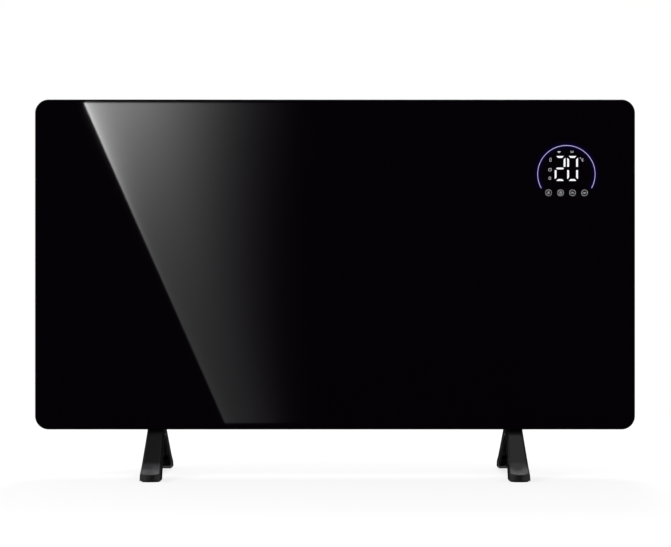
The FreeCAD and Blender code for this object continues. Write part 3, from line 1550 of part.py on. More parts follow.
# Leads inside the case.
def make_leads():
    """Return the leads of the heating film, the mains switch and the room sensor."""
    block_end = "block_left + block_entry"
    element = [[("stud_x", "stud_tip", stud), ("stud_x", "lead_level", stud), ("stud_x", "lead_level", row),
                (block_end, "lead_level", row)] for stud, row in zip(("stud_low", "stud_high"), LEAD_ROWS)]
    blade_tip, blade_row = "switch_inner - blade_length", "switch_middle - blade_rows / 2"
    switch = []
    for index, level in enumerate(("switch_rise + blade_spread / 2", "switch_rise - blade_spread / 2")):
        row = f"block_first + block_pitch * {index + 2}"
        turn_x = f"block_right + switch_lead_stagger * {2 - index}"
        switch.append([(blade_tip, blade_row, level), (turn_x, blade_row, level), (turn_x, blade_row, row),
                       (turn_x, "lead_level", row), ("block_right - block_entry", "lead_level", row)])
    collar = "case_bottom + cage_neck + sensor_collar"
    sensor = [("sensor_x", "sensor_y", collar), ("sensor_x", "sensor_y", f"{collar} + sensor_lead_rise"),
              ("sensor_x", "ribbon_drop", f"{collar} + sensor_lead_rise"),
              ("sensor_x", "ribbon_drop", "board_bottom")]
    return [
        leads("element_leads", element, "lead_radius"),
        leads("switch_leads", switch, "lead_radius"),
        leads("sensor_lead", [sensor], "sensor_lead_radius"),
    ]


def build_nodes():
    """Return every sub-part of the heater, each with its own label."""
    nodes = [make_front_glass(), make_bond_bead(), make_chassis_frame(), make_rear_cover(),
             make_outlet_grille(), make_heating_track(), make_film_terminals(), make_heat_shield(),
             make_lead_grommet(), make_control_carrier(), make_display_board(), make_digit_module(),
             make_arc_light_guide(), make_icon_lights(), make_touch_pads(), make_ribbon_cable(),
             make_power_board(), make_board_standoffs(), make_terminal_block(), make_tilt_housing(),
             make_tilt_lid(), make_tilt_pendulum(), make_switch_housing(), make_switch_rocker(),
             make_switch_terminals(), make_cord_gland(), make_gland_nut(), make_sensor_cage(),
             make_room_sensor()]
    nodes += make_heating_stack()
    nodes += make_board_blocks()
    for side, middle in zip(("left", "right"), BAR_X):
        nodes.append(make_cross_bar(f"cross_bar_{side}", middle))
        nodes.append(make_overheat_cutout(f"overheat_cutout_{side}", middle))
    nodes.append(make_plug("display_plug", "display_rear", "display_rear + plug_depth", "plug_low",
                           "display_x", "plug_width"))
    nodes.append(make_plug("board_plug", "board_face - plug_depth", "board_face", "board_top - plug_height",
                           "display_x", "plug_width"))
    nodes.append(make_plug("sensor_plug", "board_face - plug_depth", "board_face", "board_bottom",
                           "sensor_x", "sensor_plug_width"))
    for side, middle in zip(("left", "right"), FOOT_X):
        nodes.append(make_foot(f"foot_{side}", middle))
        nodes.append(make_foot_pads(f"foot_pads_{side}", middle))
        nodes.append(make_foot_bracket(f"foot_bracket_{side}", middle))
    nodes += make_screws()
    nodes += make_leads()
    return nodes


def check_document(nodes):
    """Stop if any object failed or any sub-part is empty or not valid."""
    doc.recompute()
    for item in doc.Objects:
        if "Invalid" in item.State or "Error" in item.State:
            raise RuntimeError(f"{item.Label} failed: {item.State}")
    for node in nodes:
        if node.Shape.isNull() or not node.Shape.isValid() or not node.Shape.Solids:
            raise RuntimeError(f"{node.Label} has no valid solid")


heater_nodes = build_nodes()
check_document(heater_nodes)
os.makedirs("parts", exist_ok=True)
for node in heater_nodes:
    node.Shape.exportStep(f"parts/{node.Label}.step")
print(f"{len(heater_nodes)} sub-parts written")
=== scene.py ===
"""Looks of a glass-front infrared heater on two moulded feet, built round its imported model."""

import json
import logging
import math
from contextlib import contextmanager
from dataclasses import dataclass, field
from enum import Enum, IntEnum
from typing import Any, Callable, Iterator, Sequence

import bmesh
import bpy
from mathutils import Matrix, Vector


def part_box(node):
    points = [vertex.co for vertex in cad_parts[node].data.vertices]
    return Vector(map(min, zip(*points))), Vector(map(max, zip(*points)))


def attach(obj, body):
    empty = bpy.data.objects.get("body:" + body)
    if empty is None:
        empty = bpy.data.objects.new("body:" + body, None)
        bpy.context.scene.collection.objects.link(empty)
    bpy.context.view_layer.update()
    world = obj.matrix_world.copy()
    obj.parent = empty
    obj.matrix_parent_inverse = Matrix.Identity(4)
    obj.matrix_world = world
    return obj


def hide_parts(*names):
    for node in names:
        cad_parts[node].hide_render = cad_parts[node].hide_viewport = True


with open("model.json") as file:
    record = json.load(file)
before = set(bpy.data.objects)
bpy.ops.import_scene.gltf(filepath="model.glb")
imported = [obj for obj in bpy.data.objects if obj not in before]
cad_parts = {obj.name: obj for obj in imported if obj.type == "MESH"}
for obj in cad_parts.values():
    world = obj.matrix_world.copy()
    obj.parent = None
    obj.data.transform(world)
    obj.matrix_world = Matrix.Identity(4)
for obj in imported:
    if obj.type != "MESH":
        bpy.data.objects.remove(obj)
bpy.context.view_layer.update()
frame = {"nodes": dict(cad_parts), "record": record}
log = logging.getLogger("heater")

MM = 0.001
QUARTER_TURN = math.pi / 2
# Places closer than this are the same.
TOUCH = 1e-6
# Cosines from which two directions are the same, and from which a face looks along an axis.
PARALLEL = 0.999
FACING = 0.9
# Turns in degrees: of an edge in a flat face, of one that is shaded sharp and of one that is rounded.
FLAT_TURN = 1.0
SHARP_TURN = 32.0
ROUNDED_TURN = 35.0

Piece = bpy.types.Object
Material = bpy.types.Material
Tree = bpy.types.NodeTree
Socket = bpy.types.NodeSocket
Test = Callable[[Any], bool]
Place = tuple[float, float, float]


class Axis(IntEnum):
    """The axes: X to the right of someone who faces the glass, Y to the back and Z up."""

    X = 0
    Y = 1
    Z = 2


class Body(Enum):
    """The bodies that the scene's own pieces ride on."""

    HEATER = "heater"
    ROCKER = "rocker"


class Element(Enum):
    """What is picked in edit mode, with the name of its list in the mesh."""

    VERT = "verts"
    EDGE = "edges"
    FACE = "faces"


class Pattern(Enum):
    """How a finish varies over its surface."""

    GRAIN = "grain"
    PEEL = "peel"
    BRUSHED = "brushed"
    FLAKES = "flakes"
    FIBRES = "fibres"
    RIBS = "ribs"


# Shader nodes and finishes. The first three lines are settings that several nodes share, and the numbers are
# those of a colour mix's two inputs and its output.
SMOOTH_RANGE = {"interpolation_type": "SMOOTHSTEP"}
PRODUCT = {"operation": "MULTIPLY"}
COLOURS = {"data_type": "RGBA"}
FIRST_COLOUR, SECOND_COLOUR, MIXED_COLOUR = 6, 7, 2
BLACK = (0.0, 0.0, 0.0, 1.0)
WHITE = (1.0, 1.0, 1.0, 1.0)


def linear(hex_colour: str) -> tuple[float, float, float, float]:
    """Turn an sRGB hex colour to linear RGBA.

    Args:
        hex_colour: Six hex digits after a hash sign.

    Returns:
        The linear colour with an alpha of 1.
    """
    parts = [int(hex_colour[i:i + 2], 16) / 255 for i in (1, 3, 5)]
    red, green, blue = (c / 12.92 if c <= 0.04045 else ((c + 0.055) / 1.055) ** 2.4 for c in parts)
    return (red, green, blue, 1.0)


def add_node(tree: Tree, kind: str, settings: dict[Any, Any] | None = None,
             links: dict[Any, Socket] | None = None) -> bpy.types.Node:
    """Add a shader node with its settings and links.

    Args:
        tree: The node tree.
        kind: The node's type without its ShaderNode prefix.
        settings: Properties by their name, or input values by the input's name or number.
        links: Output sockets by the name or number of the input that they feed.

    Returns:
        The new node.
    """
    node = tree.nodes.new(f"ShaderNode{kind}")
    for name, value in (settings or {}).items():
        if isinstance(name, str) and hasattr(node, name):
            setattr(node, name, value)
        else:
            node.inputs[name].default_value = value
    for name, socket in (links or {}).items():
        tree.links.new(socket, node.inputs[name])
    return node


@dataclass(frozen=True)
class Surface:
    """A material with a name and a node tree of its own."""

    name: str

    def material(self) -> Material:
        """Return the material, made on first use."""
        return bpy.data.materials.get(self.name) or self._make()

    def _make(self) -> Material:
        """Build the material round its shader.

        Returns:
            The new material.
        """
        material = bpy.data.materials.new(self.name)
        material.use_nodes = True
        tree = material.node_tree
        tree.nodes.clear()
        add_node(tree, "OutputMaterial", {}, {"Surface": self._shade(tree)})
        return material

    def _shade(self, tree: Tree) -> Socket:
        """Return the shader's output, which each kind of surface makes in its own way."""
        raise NotImplementedError


@dataclass(frozen=True)
class Finish(Surface):
    """One real material and how its surface was made.

    A pattern's size is in millimetres; roughness runs between its two values over that pattern.
    """

    colour: str
    variation: str
    pattern: Pattern
    size_mm: float
    roughness: tuple[float, float]
    bump_mm: float = 0.0
    metal: bool = False
    ior: float = 1.5

    def _shade(self, tree: Tree) -> Socket:
        """Let one pattern drive colour, roughness and relief.

        Args:
            tree: The material's node tree.

        Returns:
            The shader's output.
        """
        place = add_node(tree, "TexCoord").outputs["Object"]
        height = self._height(tree, place)
        low, high = self.roughness
        rough = add_node(tree, "MapRange", {"To Min": low, "To Max": high}, {"Value": height})
        links = {"Base Color": self._colour(tree, place, height), "Roughness": rough.outputs["Result"]}
        if self.bump_mm:
            relief = add_node(tree, "Bump", {"Distance": self.bump_mm * MM}, {"Height": height})
            links["Normal"] = relief.outputs["Normal"]
        settings = {"Metallic": 1.0} if self.metal else {"IOR": self.ior}
        return add_node(tree, "BsdfPrincipled", settings, links).outputs["BSDF"]

    def _colour(self, tree: Tree, place: Socket, height: Socket) -> Socket:
        """Return the colour, which drifts between two tones with the pattern."""
        tones = COLOURS | {FIRST_COLOUR: linear(self.colour), SECOND_COLOUR: linear(self.variation)}
        return add_node(tree, "Mix", tones, {0: height}).outputs[MIXED_COLOUR]

    def _height(self, tree: Tree, place: Socket) -> Socket:
        """Return the pattern's value from 0 to 1.

        Args:
            tree: The material's node tree.
            place: The surface's place in metres.

        Returns:
            The socket that carries the pattern.
        """
        per_metre = 1 / (self.size_mm * MM)
        if self.pattern is Pattern.FLAKES:
            return add_node(tree, "TexVoronoi", {"Scale": per_metre}, {"Vector": place}).outputs["Distance"]
        if self.pattern is Pattern.RIBS:
            # A wave texture repeats every pi / 10 units.
            ribs = add_node(tree, "TexWave", {"Scale": per_metre * math.pi / 10}, {"Vector": place})
            return ribs.outputs["Fac"]
        if self.pattern is Pattern.BRUSHED:
            # Lines along X, stretched about thirty times.
            drawn = add_node(tree, "Mapping", {"Scale": (0.03, 1.0, 1.0)}, {"Vector": place})
            place = drawn.outputs["Vector"]
        detail = {Pattern.PEEL: 0.5, Pattern.FIBRES: 6.0}.get(self.pattern, 3.0)
        distortion = 1.5 if self.pattern is Pattern.FIBRES else 0.0
        noise = add_node(tree, "TexNoise", {"Scale": per_metre, "Detail": detail, "Distortion": distortion},
                         {"Vector": place})
        return noise.outputs["Fac"]


@dataclass(frozen=True)
class DustAndHighlightFinish(Finish):
    """A finish made paler on low faces that look up: dust, and a painted highlight where light from above falls on
    them.
    """

    # The pale colour of the dust and of the painted highlight on the toes.
    dust_and_highlight: str = "#78787a"
    clear_above: float = 25 * MM
    full_below: float = 11 * MM
    dust_and_highlight_size: float = 14 * MM
    bare_slope: float = 0.55
    dusty_and_lit_slope: float = 0.85

    def _colour(self, tree: Tree, place: Socket, height: Socket) -> Socket:
        """Return the colour with dust and a painted highlight over it, strongest near the floor.

        Args:
            tree: The material's node tree.
            place: The surface's place in metres.
            height: The pattern's value.

        Returns:
            The socket that carries the colour.
        """
        base = super()._colour(tree, place, height)
        # Dust with a painted highlight: the colour pales in noisy clouds on low faces that look up.
        rise = add_node(tree, "SeparateXYZ", {}, {0: place}).outputs["Z"]
        low = add_node(tree, "MapRange", SMOOTH_RANGE | {"From Min": self.clear_above, "From Max": self.full_below},
                       {"Value": rise})
        facing = add_node(tree, "SeparateXYZ", {}, {0: add_node(tree, "NewGeometry").outputs["Normal"]})
        upward = add_node(tree, "MapRange", SMOOTH_RANGE | {"From Min": self.bare_slope, "From Max": self.dusty_and_lit_slope},
                          {"Value": facing.outputs["Z"]})
        clouds = add_node(tree, "TexNoise", {"Scale": 1 / self.dust_and_highlight_size, "Detail": 3.0}, {"Vector": place})
        lying = add_node(tree, "Math", PRODUCT, {0: low.outputs[0], 1: upward.outputs[0]})
        share = add_node(tree, "Math", PRODUCT, {0: lying.outputs[0], 1: clouds.outputs["Fac"]})
        dusted_and_lit = add_node(tree, "Mix", COLOURS | {SECOND_COLOUR: linear(self.dust_and_highlight)},
                          {0: share.outputs[0], FIRST_COLOUR: base})
        return dusted_and_lit.outputs[MIXED_COLOUR]


@dataclass(frozen=True)
class Light(Surface):
    """A lit mark behind the glass: milky plastic over a light, uneven from its middle to its ends."""

    colour: str
    dim_colour: str
    strength: float
    size_mm: float = 4.0
    unlit_colour: str = "#101012"
    roughness: float = 0.3

    def _shade(self, tree: Tree) -> Socket:
        """Let the light drift between two tones.

        Args:
            tree: The material's node tree.

        Returns:
            The shader's output.
        """
        place = add_node(tree, "TexCoord").outputs["Object"]
        drift = add_node(tree, "TexNoise", {"Scale": 1 / (self.size_mm * MM), "Detail": 1.0}, {"Vector": place})
        tones = COLOURS | {FIRST_COLOUR: linear(self.dim_colour), SECOND_COLOUR: linear(self.colour)}
        tone = add_node(tree, "Mix", tones, {0: drift.outputs["Fac"]})
        shader = add_node(tree, "BsdfPrincipled", {"Base Color": linear(self.unlit_colour), "Roughness": self.roughness,
                                                   "Emission Strength": self.strength},
                          {"Emission Color": tone.outputs[MIXED_COLOUR]})
        return shader.outputs["BSDF"]


@dataclass(frozen=True)
class PrintedGlass(Surface):
    """Toughened float glass, polished and printed black on its back: a dark mirror.

    The lit arc behind it spreads a faint violet glow through the print, painted on the glass as its own light.
    """

    arc_centre: Vector
    arc_radius: float
    arc_lowest: float
    colour: str = "#040205"
    sheen_colour: str = "#060307"
    roughness: tuple[float, float] = (0.012, 0.02)
    ior: float = 1.5
    # The glow painted on the glass round the arc: its colour, strength, reach and fade.
    glow_colour: str = "#3c1cc8"
    glow: float = 0.055
    glow_reach: float = 2.4 * MM
    glow_range: tuple[float, float] = (0.04, 0.94)
    waviness_mm: float = 90.0

    def _shade(self, tree: Tree) -> Socket:
        """Let the polish and the print drift slowly, and add the arc's glow.

        Args:
            tree: The material's node tree.

        Returns:
            The shader's output.
        """
        place = add_node(tree, "TexCoord").outputs["Object"]
        drift = add_node(tree, "TexNoise", {"Scale": 1 / (self.waviness_mm * MM), "Detail": 2.0},
                         {"Vector": place}).outputs["Fac"]
        tones = COLOURS | {FIRST_COLOUR: linear(self.colour), SECOND_COLOUR: linear(self.sheen_colour)}
        tone = add_node(tree, "Mix", tones, {0: drift})
        low, high = self.roughness
        rough = add_node(tree, "MapRange", {"To Min": low, "To Max": high}, {"Value": drift})
        shader = add_node(tree, "BsdfPrincipled", {"IOR": self.ior, "Emission Strength": self.glow},
                          {"Base Color": tone.outputs[MIXED_COLOUR], "Roughness": rough.outputs["Result"],
                           "Emission Color": self._glow(tree, place)})
        return shader.outputs["BSDF"]

    def _glow(self, tree: Tree, place: Socket) -> Socket:
        """Return the arc's painted glow on the glass as a colour that fades with the distance from its line.

        Args:
            tree: The material's node tree.
            place: The surface's place in metres.

        Returns:
            The socket that carries the glow.
        """
        local = add_node(tree, "VectorMath", {"operation": "SUBTRACT", 1: self.arc_centre}, {0: place})
        flat = add_node(tree, "VectorMath", PRODUCT | {1: (1.0, 0.0, 1.0)}, {0: local.outputs["Vector"]})
        reach = add_node(tree, "VectorMath", {"operation": "LENGTH"}, {0: flat.outputs["Vector"]})
        off_line = add_node(tree, "Math", {"operation": "SUBTRACT", 1: self.arc_radius}, {0: reach.outputs["Value"]})
        share = add_node(tree, "Math", {"operation": "DIVIDE", 1: self.glow_reach}, {0: off_line.outputs[0]})
        spread = add_node(tree, "Math", {"operation": "MULTIPLY_ADD", 2: 1.0},
                          {0: share.outputs[0], 1: share.outputs[0]})
        fading = add_node(tree, "Math", {"operation": "DIVIDE", 0: 1.0}, {1: spread.outputs[0]})
        height = add_node(tree, "SeparateXYZ", {}, {0: local.outputs["Vector"]}).outputs["Z"]
        above = add_node(tree, "MapRange", SMOOTH_RANGE | {"From Min": -self.arc_lowest - self.glow_reach,
                                                           "From Max": -self.arc_lowest + self.glow_reach},
                         {"Value": height})
        dark_at, full_at = self.glow_range
        near = add_node(tree, "MapRange", SMOOTH_RANGE | {"From Min": dark_at, "From Max": full_at},
                        {"Value": fading.outputs[0]})
        lit = add_node(tree, "Math", PRODUCT, {0: near.outputs[0], 1: above.outputs[0]})
        glow = add_node(tree, "Mix", COLOURS | {FIRST_COLOUR: BLACK, SECOND_COLOUR: linear(self.glow_colour)},
                        {0: lit.outputs[0]})
        return glow.outputs[MIXED_COLOUR]


# Each finish is named for its material and how the surface was made. Grain, peel and tool lines that are finer than
# about half a millimetre are drawn as coarse as they need to be to show.
FINISHES: dict[str, Finish] = {
    # Sanitary silicone: cured with a skin, so it has a soft, even, low shine.
    "silicone": Finish("silicone_cured_bead", "#2b2b2c", "#353536", Pattern.PEEL, 3.0, (0.42, 0.55), 0.05),
    # Zinc-plated steel: small bright crystals under passivation, slightly streaked.
    "zinc_steel": Finish("zinc_plated_sheet_steel", "#b9bcc2", "#a3a7af",
                         Pattern.FLAKES, 6.0, (0.28, 0.44), metal=True),
    # Powder coat: resin grains melted together, which leaves a fine orange peel and a broken highlight.
    "powder_coat": Finish("powder_coated_sheet_steel", "#1b1b1d", "#252528", Pattern.GRAIN, 1.1, (0.42, 0.6), 0.05),
    # ABS with an eroded mould face: a fine even grain that scatters light.
    "case_plastic": Finish("abs_fine_moulded_grain", "#18181a", "#222225", Pattern.GRAIN, 0.7, (0.45, 0.62), 0.03),
    # ABS from a polished mould: nearly smooth, with a satin reflection, a little dust and a painted highlight on the
    # toes.
    "foot_plastic": DustAndHighlightFinish("abs_satin_moulded", "#0a0a0c", "#0f0f11", Pattern.PEEL, 1.6, (0.26, 0.36), 0.012),
    # Nitrile rubber: matt and dusty, with a fine moulded skin.
    "rubber": Finish("nitrile_rubber_moulded", "#1c1c1c", "#282827", Pattern.GRAIN, 0.9, (0.7, 0.85), 0.04),
    # Polyimide film: clear amber plastic over the heating track.
    "heating_film": Finish("polyimide_film_rolled", "#a8621c", "#c07a2c", Pattern.PEEL, 22.0, (0.2, 0.3)),
    # Etched resistance foil: dull grey metal with rolling lines.
    "resistive_alloy": Finish("resistance_foil_etched", "#8c8a86", "#77746f",
                              Pattern.BRUSHED, 1.2, (0.35, 0.5), metal=True),
    # Turned brass: warm metal with fine tool lines.
    "brass": Finish("brass_turned", "#c8a45a", "#b58f46", Pattern.BRUSHED, 0.5, (0.25, 0.38), 0.005, True),
    # Pressed mica: overlapping flakes with a pearly, uneven gloss.
    "mica": Finish("mica_pressed_sheet", "#b3a183", "#cbbb9c", Pattern.FLAKES, 7.0, (0.25, 0.5), 0.05),
    # Rolled aluminium foil: bright, with faint lines along the roll.
    "reflector_foil": Finish("aluminium_foil_rolled", "#dcdde0", "#cfd0d4",
                             Pattern.BRUSHED, 2.0, (0.12, 0.24), metal=True),
    # Mineral fibre board: matted threads that leave a woolly surface.
    "insulation": Finish("mineral_fibre_pressed", "#d9d0bd", "#c6bca6", Pattern.FIBRES, 2.5, (0.85, 0.95), 0.4),
    # Phenolic moulding: brown, with filler specks.
    "cutout_body": Finish("phenolic_moulded", "#4a2c1c", "#5a3826", Pattern.GRAIN, 0.6, (0.35, 0.5), 0.01),
    # Solder mask on glass-fibre laminate: glossy green with the weave just showing.
    "circuit_board": Finish("glass_fibre_board_masked", "#14502a", "#1b6335", Pattern.RIBS, 1.4, (0.25, 0.38), 0.01),
    # Milky polycarbonate: it spreads the light of what is behind it.
    "light_plastic": Finish("polycarbonate_milky", "#e4e4ea", "#f2f2f6", Pattern.PEEL, 3.0, (0.25, 0.35)),
    # Conductive foam: open cells, dark and matt.
    "conductive_foam": Finish("carbon_loaded_foam", "#333335", "#1d1d1f", Pattern.FLAKES, 0.8, (0.85, 0.95), 0.2),
    # Nylon connector: cream, with a slight waxy shine.
    "connector_plastic": Finish("nylon_moulded", "#ddd6c2", "#e8e2d2", Pattern.GRAIN, 0.8, (0.32, 0.45), 0.01),
    # Ribbon cable: parallel cores that show as ribs.
    "ribbon": Finish("vinyl_ribbon_extruded", "#8f9095", "#b4b5ba", Pattern.RIBS, 1.27, (0.35, 0.5), 0.2),
    # Potted relay and supply cases: polyester with a light sheen.
    "relay_plastic": Finish("polyester_moulded", "#1d1d22", "#27272d", Pattern.GRAIN, 0.6, (0.3, 0.42), 0.01),
    # Nylon switch parts: polished mould, rubbed by fingers.
    "switch_plastic": Finish("nylon_polished_moulding", "#121214", "#1a1a1d", Pattern.PEEL, 2.0, (0.22, 0.36), 0.01),
    # Epoxy dip: glossy bead with slow waves.
    "sensor_resin": Finish("epoxy_dipped", "#151517", "#202024", Pattern.PEEL, 2.5, (0.15, 0.25), 0.05),
    # Zinc-plated screws: bright, with turned lines.
    "screw_steel": Finish("zinc_plated_screw_steel", "#a9acb2", "#8f939a",
                          Pattern.BRUSHED, 0.4, (0.26, 0.4), 0.004, True),
    # Silicone sleeve: soft, slightly translucent rubber.
    "lead_sleeve": Finish("silicone_sleeve_extruded", "#c9c6bc", "#d6d3ca", Pattern.RIBS, 1.0, (0.45, 0.6), 0.02),
}
DIGIT_LIGHT = Light("digit_light_white", "#ffffff", "#f1f3fb", 1.0)
ARC_LIGHT = Light("arc_light_lavender", "#bdb4d2", "#9a90bc", 1.3, 18.0)
MARK_LIGHT = Light("mark_light_grey", "#dededc", "#c6c6c8", 1.7)
SIGN_PAINT = Finish("pad_printed_ink_white", "#d8d8d6", "#c8c8c6", Pattern.GRAIN, 0.4, (0.45, 0.55))


# Modelling by operators.
def deselect_all() -> None:
    """Leave nothing selected in object mode."""
    bpy.ops.object.select_all(action="DESELECT")


def choose(*pieces: Piece) -> None:
    """Select some pieces alone, the first of them active.

    Args:
        pieces: The pieces to select.
    """
    deselect_all()
    for piece in pieces:
        piece.select_set(True)
    bpy.context.view_layer.objects.active = pieces[0]


@contextmanager
def editing(piece: Piece) -> Iterator[None]:
    """Work on a piece in edit mode, with nothing selected at the start.

    Args:
        piece: The piece to work on.

    Yields:
        Nothing. The piece is in edit mode until the block ends.
    """
    choose(piece)
    bpy.ops.object.mode_set(mode="EDIT")
    bpy.ops.mesh.select_all(action="DESELECT")
    yield
    bpy.ops.object.mode_set(mode="OBJECT")


def pick(piece: Piece, element: Element, test: Test) -> None:
    """Select the elements of a mesh that pass a test, in edit mode.

    Args:
        piece: The piece in edit mode.
        element: Which kind is picked.
        test: Tells whether one element is wanted.
    """
    bpy.ops.mesh.select_mode(type=element.name)
    bpy.ops.mesh.select_all(action="DESELECT")
    mesh = bmesh.from_edit_mesh(piece.data)
    for item in getattr(mesh, element.value):
        if test(item):
            item.select_set(True)
    mesh.select_flush_mode()
    bmesh.update_edit_mesh(piece.data)


def along(axis: Axis) -> Test:
    """Return a test for edges that run along an axis."""
    return lambda edge: abs((edge.verts[1].co - edge.verts[0].co).normalized()[axis]) > PARALLEL


def level(axis: Axis, place: float) -> Test:
    """Return a test for edges or faces that lie wholly at one level of an axis."""
    return lambda item: all(abs(vert.co[axis] - place) < TOUCH for vert in item.verts)


def round_edges(piece: Piece, test: Test, offset: float, segments: int) -> None:
    """Bevel the edges of a mesh that pass a test, in edit mode."""
    pick(piece, Element.EDGE, test)
    bpy.ops.mesh.bevel(offset=offset, segments=segments, affect="EDGES")


def apply_modifier(piece: Piece, kind: str, settings: dict[str, Any]) -> None:
    """Add a modifier and apply it.

    Args:
        piece: The piece to change.
        kind: The modifier's type.
        settings: Its properties by name.
    """
    choose(piece)
    modifier = piece.modifiers.new(kind.lower(), kind)
    for name, value in settings.items():
        setattr(modifier, name, value)
    bpy.ops.object.modifier_apply(modifier=modifier.name)


def soften(piece: Piece, width: float, segments: int, degrees: float, **settings: Any) -> None:
    """Round every edge of a piece that turns by more than an angle.

    Args:
        piece: The piece to change.
        width: How wide the rounding is.
        segments: How many steps it has.
        degrees: The least turn of an edge.
        settings: Further properties of the modifier.
    """
    apply_modifier(piece, "BEVEL", {"width": width, "segments": segments, "limit_method": "ANGLE",
                                    "angle_limit": math.radians(degrees), **settings})


def cut_away(piece: Piece, cutter: Piece) -> None:
    """Cut a cutter's form out of a piece and remove the cutter."""
    apply_modifier(piece, "BOOLEAN", {"operation": "DIFFERENCE", "solver": "EXACT", "object": cutter})
    bpy.data.objects.remove(cutter, do_unlink=True)


def set_origin(piece: Piece) -> Piece:
    """Put a piece's place, turn and scale into its mesh.

    Args:
        piece: The piece to change.

    Returns:
        The piece.
    """
    choose(piece)
    bpy.ops.object.transform_apply(location=True, rotation=True, scale=True)
    return piece


def smooth(piece: Piece) -> None:
    """Shade a piece smooth over gentle turns and flat over sharp ones, with wide faces kept flat.

    Args:
        piece: The piece to shade.
    """
    choose(piece)
    bpy.ops.object.shade_smooth_by_angle(angle=math.radians(SHARP_TURN))
    apply_modifier(piece, "WEIGHTED_NORMAL", {"keep_sharp": True, "weight": 100})


def outward(piece: Piece) -> None:
    """Merge doubles and turn all faces outwards.

    Args:
        piece: The piece to mend.
    """
    with editing(piece):
        bpy.ops.mesh.select_all(action="SELECT")
        bpy.ops.mesh.remove_doubles(threshold=TOUCH)
        bpy.ops.mesh.normals_make_consistent(inside=False)


def join(name: str, pieces: Sequence[Piece]) -> Piece:
    """Join pieces into one and name it.

    Args:
        name: The joined piece's name.
        pieces: The pieces to join.

    Returns:
        The joined piece.
    """
    choose(*pieces)
    if len(pieces) > 1:
        bpy.ops.object.join()
    piece = bpy.context.view_layer.objects.active
    piece.name = name
    piece.data.name = name
    return piece


def block(low: Vector, high: Vector, name: str = "block") -> Piece:
    """Add a box between two corners.

    Args:
        low: Its lowest corner.
        high: Its highest corner.
        name: Its name.

    Returns:
        The box, with its place in its mesh.
    """
    deselect_all()
    bpy.ops.mesh.primitive_cube_add(size=1, location=(low + high) / 2)
    piece = bpy.context.active_object
    piece.scale = high - low
    piece.name = name
    return set_origin(piece)


def copied(name: str, mesh: bpy.types.Mesh) -> Piece:
    """Add a piece with its own copy of a mesh.

    Args:
        name: Its name.
        mesh: The mesh to copy.

    Returns:
        The new piece.
    """
    piece = bpy.data.objects.new(name, mesh.copy())
    bpy.context.scene.collection.objects.link(piece)
    return piece


def dress(piece: Piece, slot: str, replaces: Sequence[str] = (), body: Body = Body.HEATER,
          surface: Surface | None = None) -> None:
    """Give a piece its finish, its body and the nodes that it stands for.

    Args:
        piece: The finished piece.
        slot: The record's material slot that it takes its finish from.
        replaces: The nodes that it stands for.
        body: The body that it moves with.
        surface: Its material, where that isn't the slot's own finish.
    """
    piece.data.materials.clear()
    piece.data.materials.append((surface or FINISHES[slot]).material())
    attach(piece, body.value)
    if replaces:
        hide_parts(*replaces)
    log.info("%s: %d faces on %s", piece.name, len(piece.data.polygons), body.value)


def refined(node: str, bevel_mm: float, segments: int = 2, merged: bool = True) -> Piece:
    """Copy a node's solid, merge its facets and round its edges.

    Args:
        node: The node to copy.
        bevel_mm: How far each edge is rounded.
        segments: How many steps the rounding has.
        merged: Whether flat facets become one face, which a face with windows in it can't be.

    Returns:
        The rounded copy.
    """
    piece = copied(f"{node}_moulding", frame["nodes"][node].data)
    with editing(piece):
        bpy.ops.mesh.select_all(action="SELECT")
        bpy.ops.mesh.remove_doubles(threshold=TOUCH)
        if merged:
            bpy.ops.mesh.dissolve_limited(angle_limit=math.radians(FLAT_TURN))
    soften(piece, bevel_mm * MM, segments, ROUNDED_TURN, miter_outer="MITER_ARC")
    smooth(piece)
    return piece


# The heater's sub-assemblies.
@dataclass(frozen=True)
class Sign:
    """A small lit sign of rings and bars, in millimetres from its own middle.

    A ring is its place across and up, its outer radius, its stroke, how many steps it has, where it starts and how
    far it goes round. A bar is its place across and up, its length, its width and its turn. Angles are in degrees.
    """

    rings: tuple[tuple[float, ...], ...] = ()
    bars: tuple[tuple[float, ...], ...] = ()


# Places are from the arc's centre, across and up.
UNIT_PLACE = (22.3, 18.9)
UNIT_SIGN = Sign(((-3.5, 2.7, 0.6, 0.3, 20), (0, 0, 1.8, 0.45, 28, 70, 220)))
ICONS: dict[tuple[float, float], Sign] = {
    # warmth: an upright capsule
    (-21.2, 19.25): Sign(((0, 1.35, 1.2, 0.28, 16, 0, 180), (0, -1.35, 1.2, 0.28, 16, 180, 180)),
                         ((-1.06, 0, 2.7, 0.28, 90), (1.06, 0, 2.7, 0.28, 90))),
    # clock
    (-21.9, 6.0): Sign(((0, 0, 2.1, 0.26),), ((0, 0.5, 1.3, 0.26, 90),)),
    # drop
    (-22.0, -5.6): Sign(((0, 0, 1.6, 0.28, 24, 150, 240),), ((-0.75, 1.5, 2.0, 0.28, 60), (0.75, 1.5, 2.0, 0.28, -60))),
    # wireless link: three strokes that narrow downwards
    (-9.8, 29.4): Sign((), ((0, 0.9, 4.4, 0.4), (0, 0, 2.8, 0.4), (0, -0.9, 1.2, 0.4))),
    # warm ribs
    (7.6, 30.2): Sign((), ((-1.6, 0, 2.0, 0.28, 90), (0, 0, 2.0, 0.28, 90), (1.6, 0, 2.0, 0.28, 90),
                           (0, -1.1, 3.6, 0.25))),
}
KEYS: dict[float, Sign] = {
    # mode: a letter for automatic
    -23.7: Sign((), ((-0.75, 0.1, 3.3, 0.32, 67), (0.75, 0.1, 3.3, 0.32, -67), (0, -0.5, 1.5, 0.28))),
    # timer: a stopwatch
    -7.7: Sign(((0, -0.4, 1.6, 0.28, 24),), ((0, 1.8, 1.4, 0.3), (0.3, -0.1, 1.0, 0.28, 45))),
    # warmer
    8.2: Sign((), ((-0.9, 0.1, 2.5, 0.44, 45), (0.9, 0.1, 2.5, 0.44, -45))),
    # cooler
    24.2: Sign((), ((-0.9, -0.1, 2.5, 0.44, -45), (0.9, -0.1, 2.5, 0.44, 45))),
}


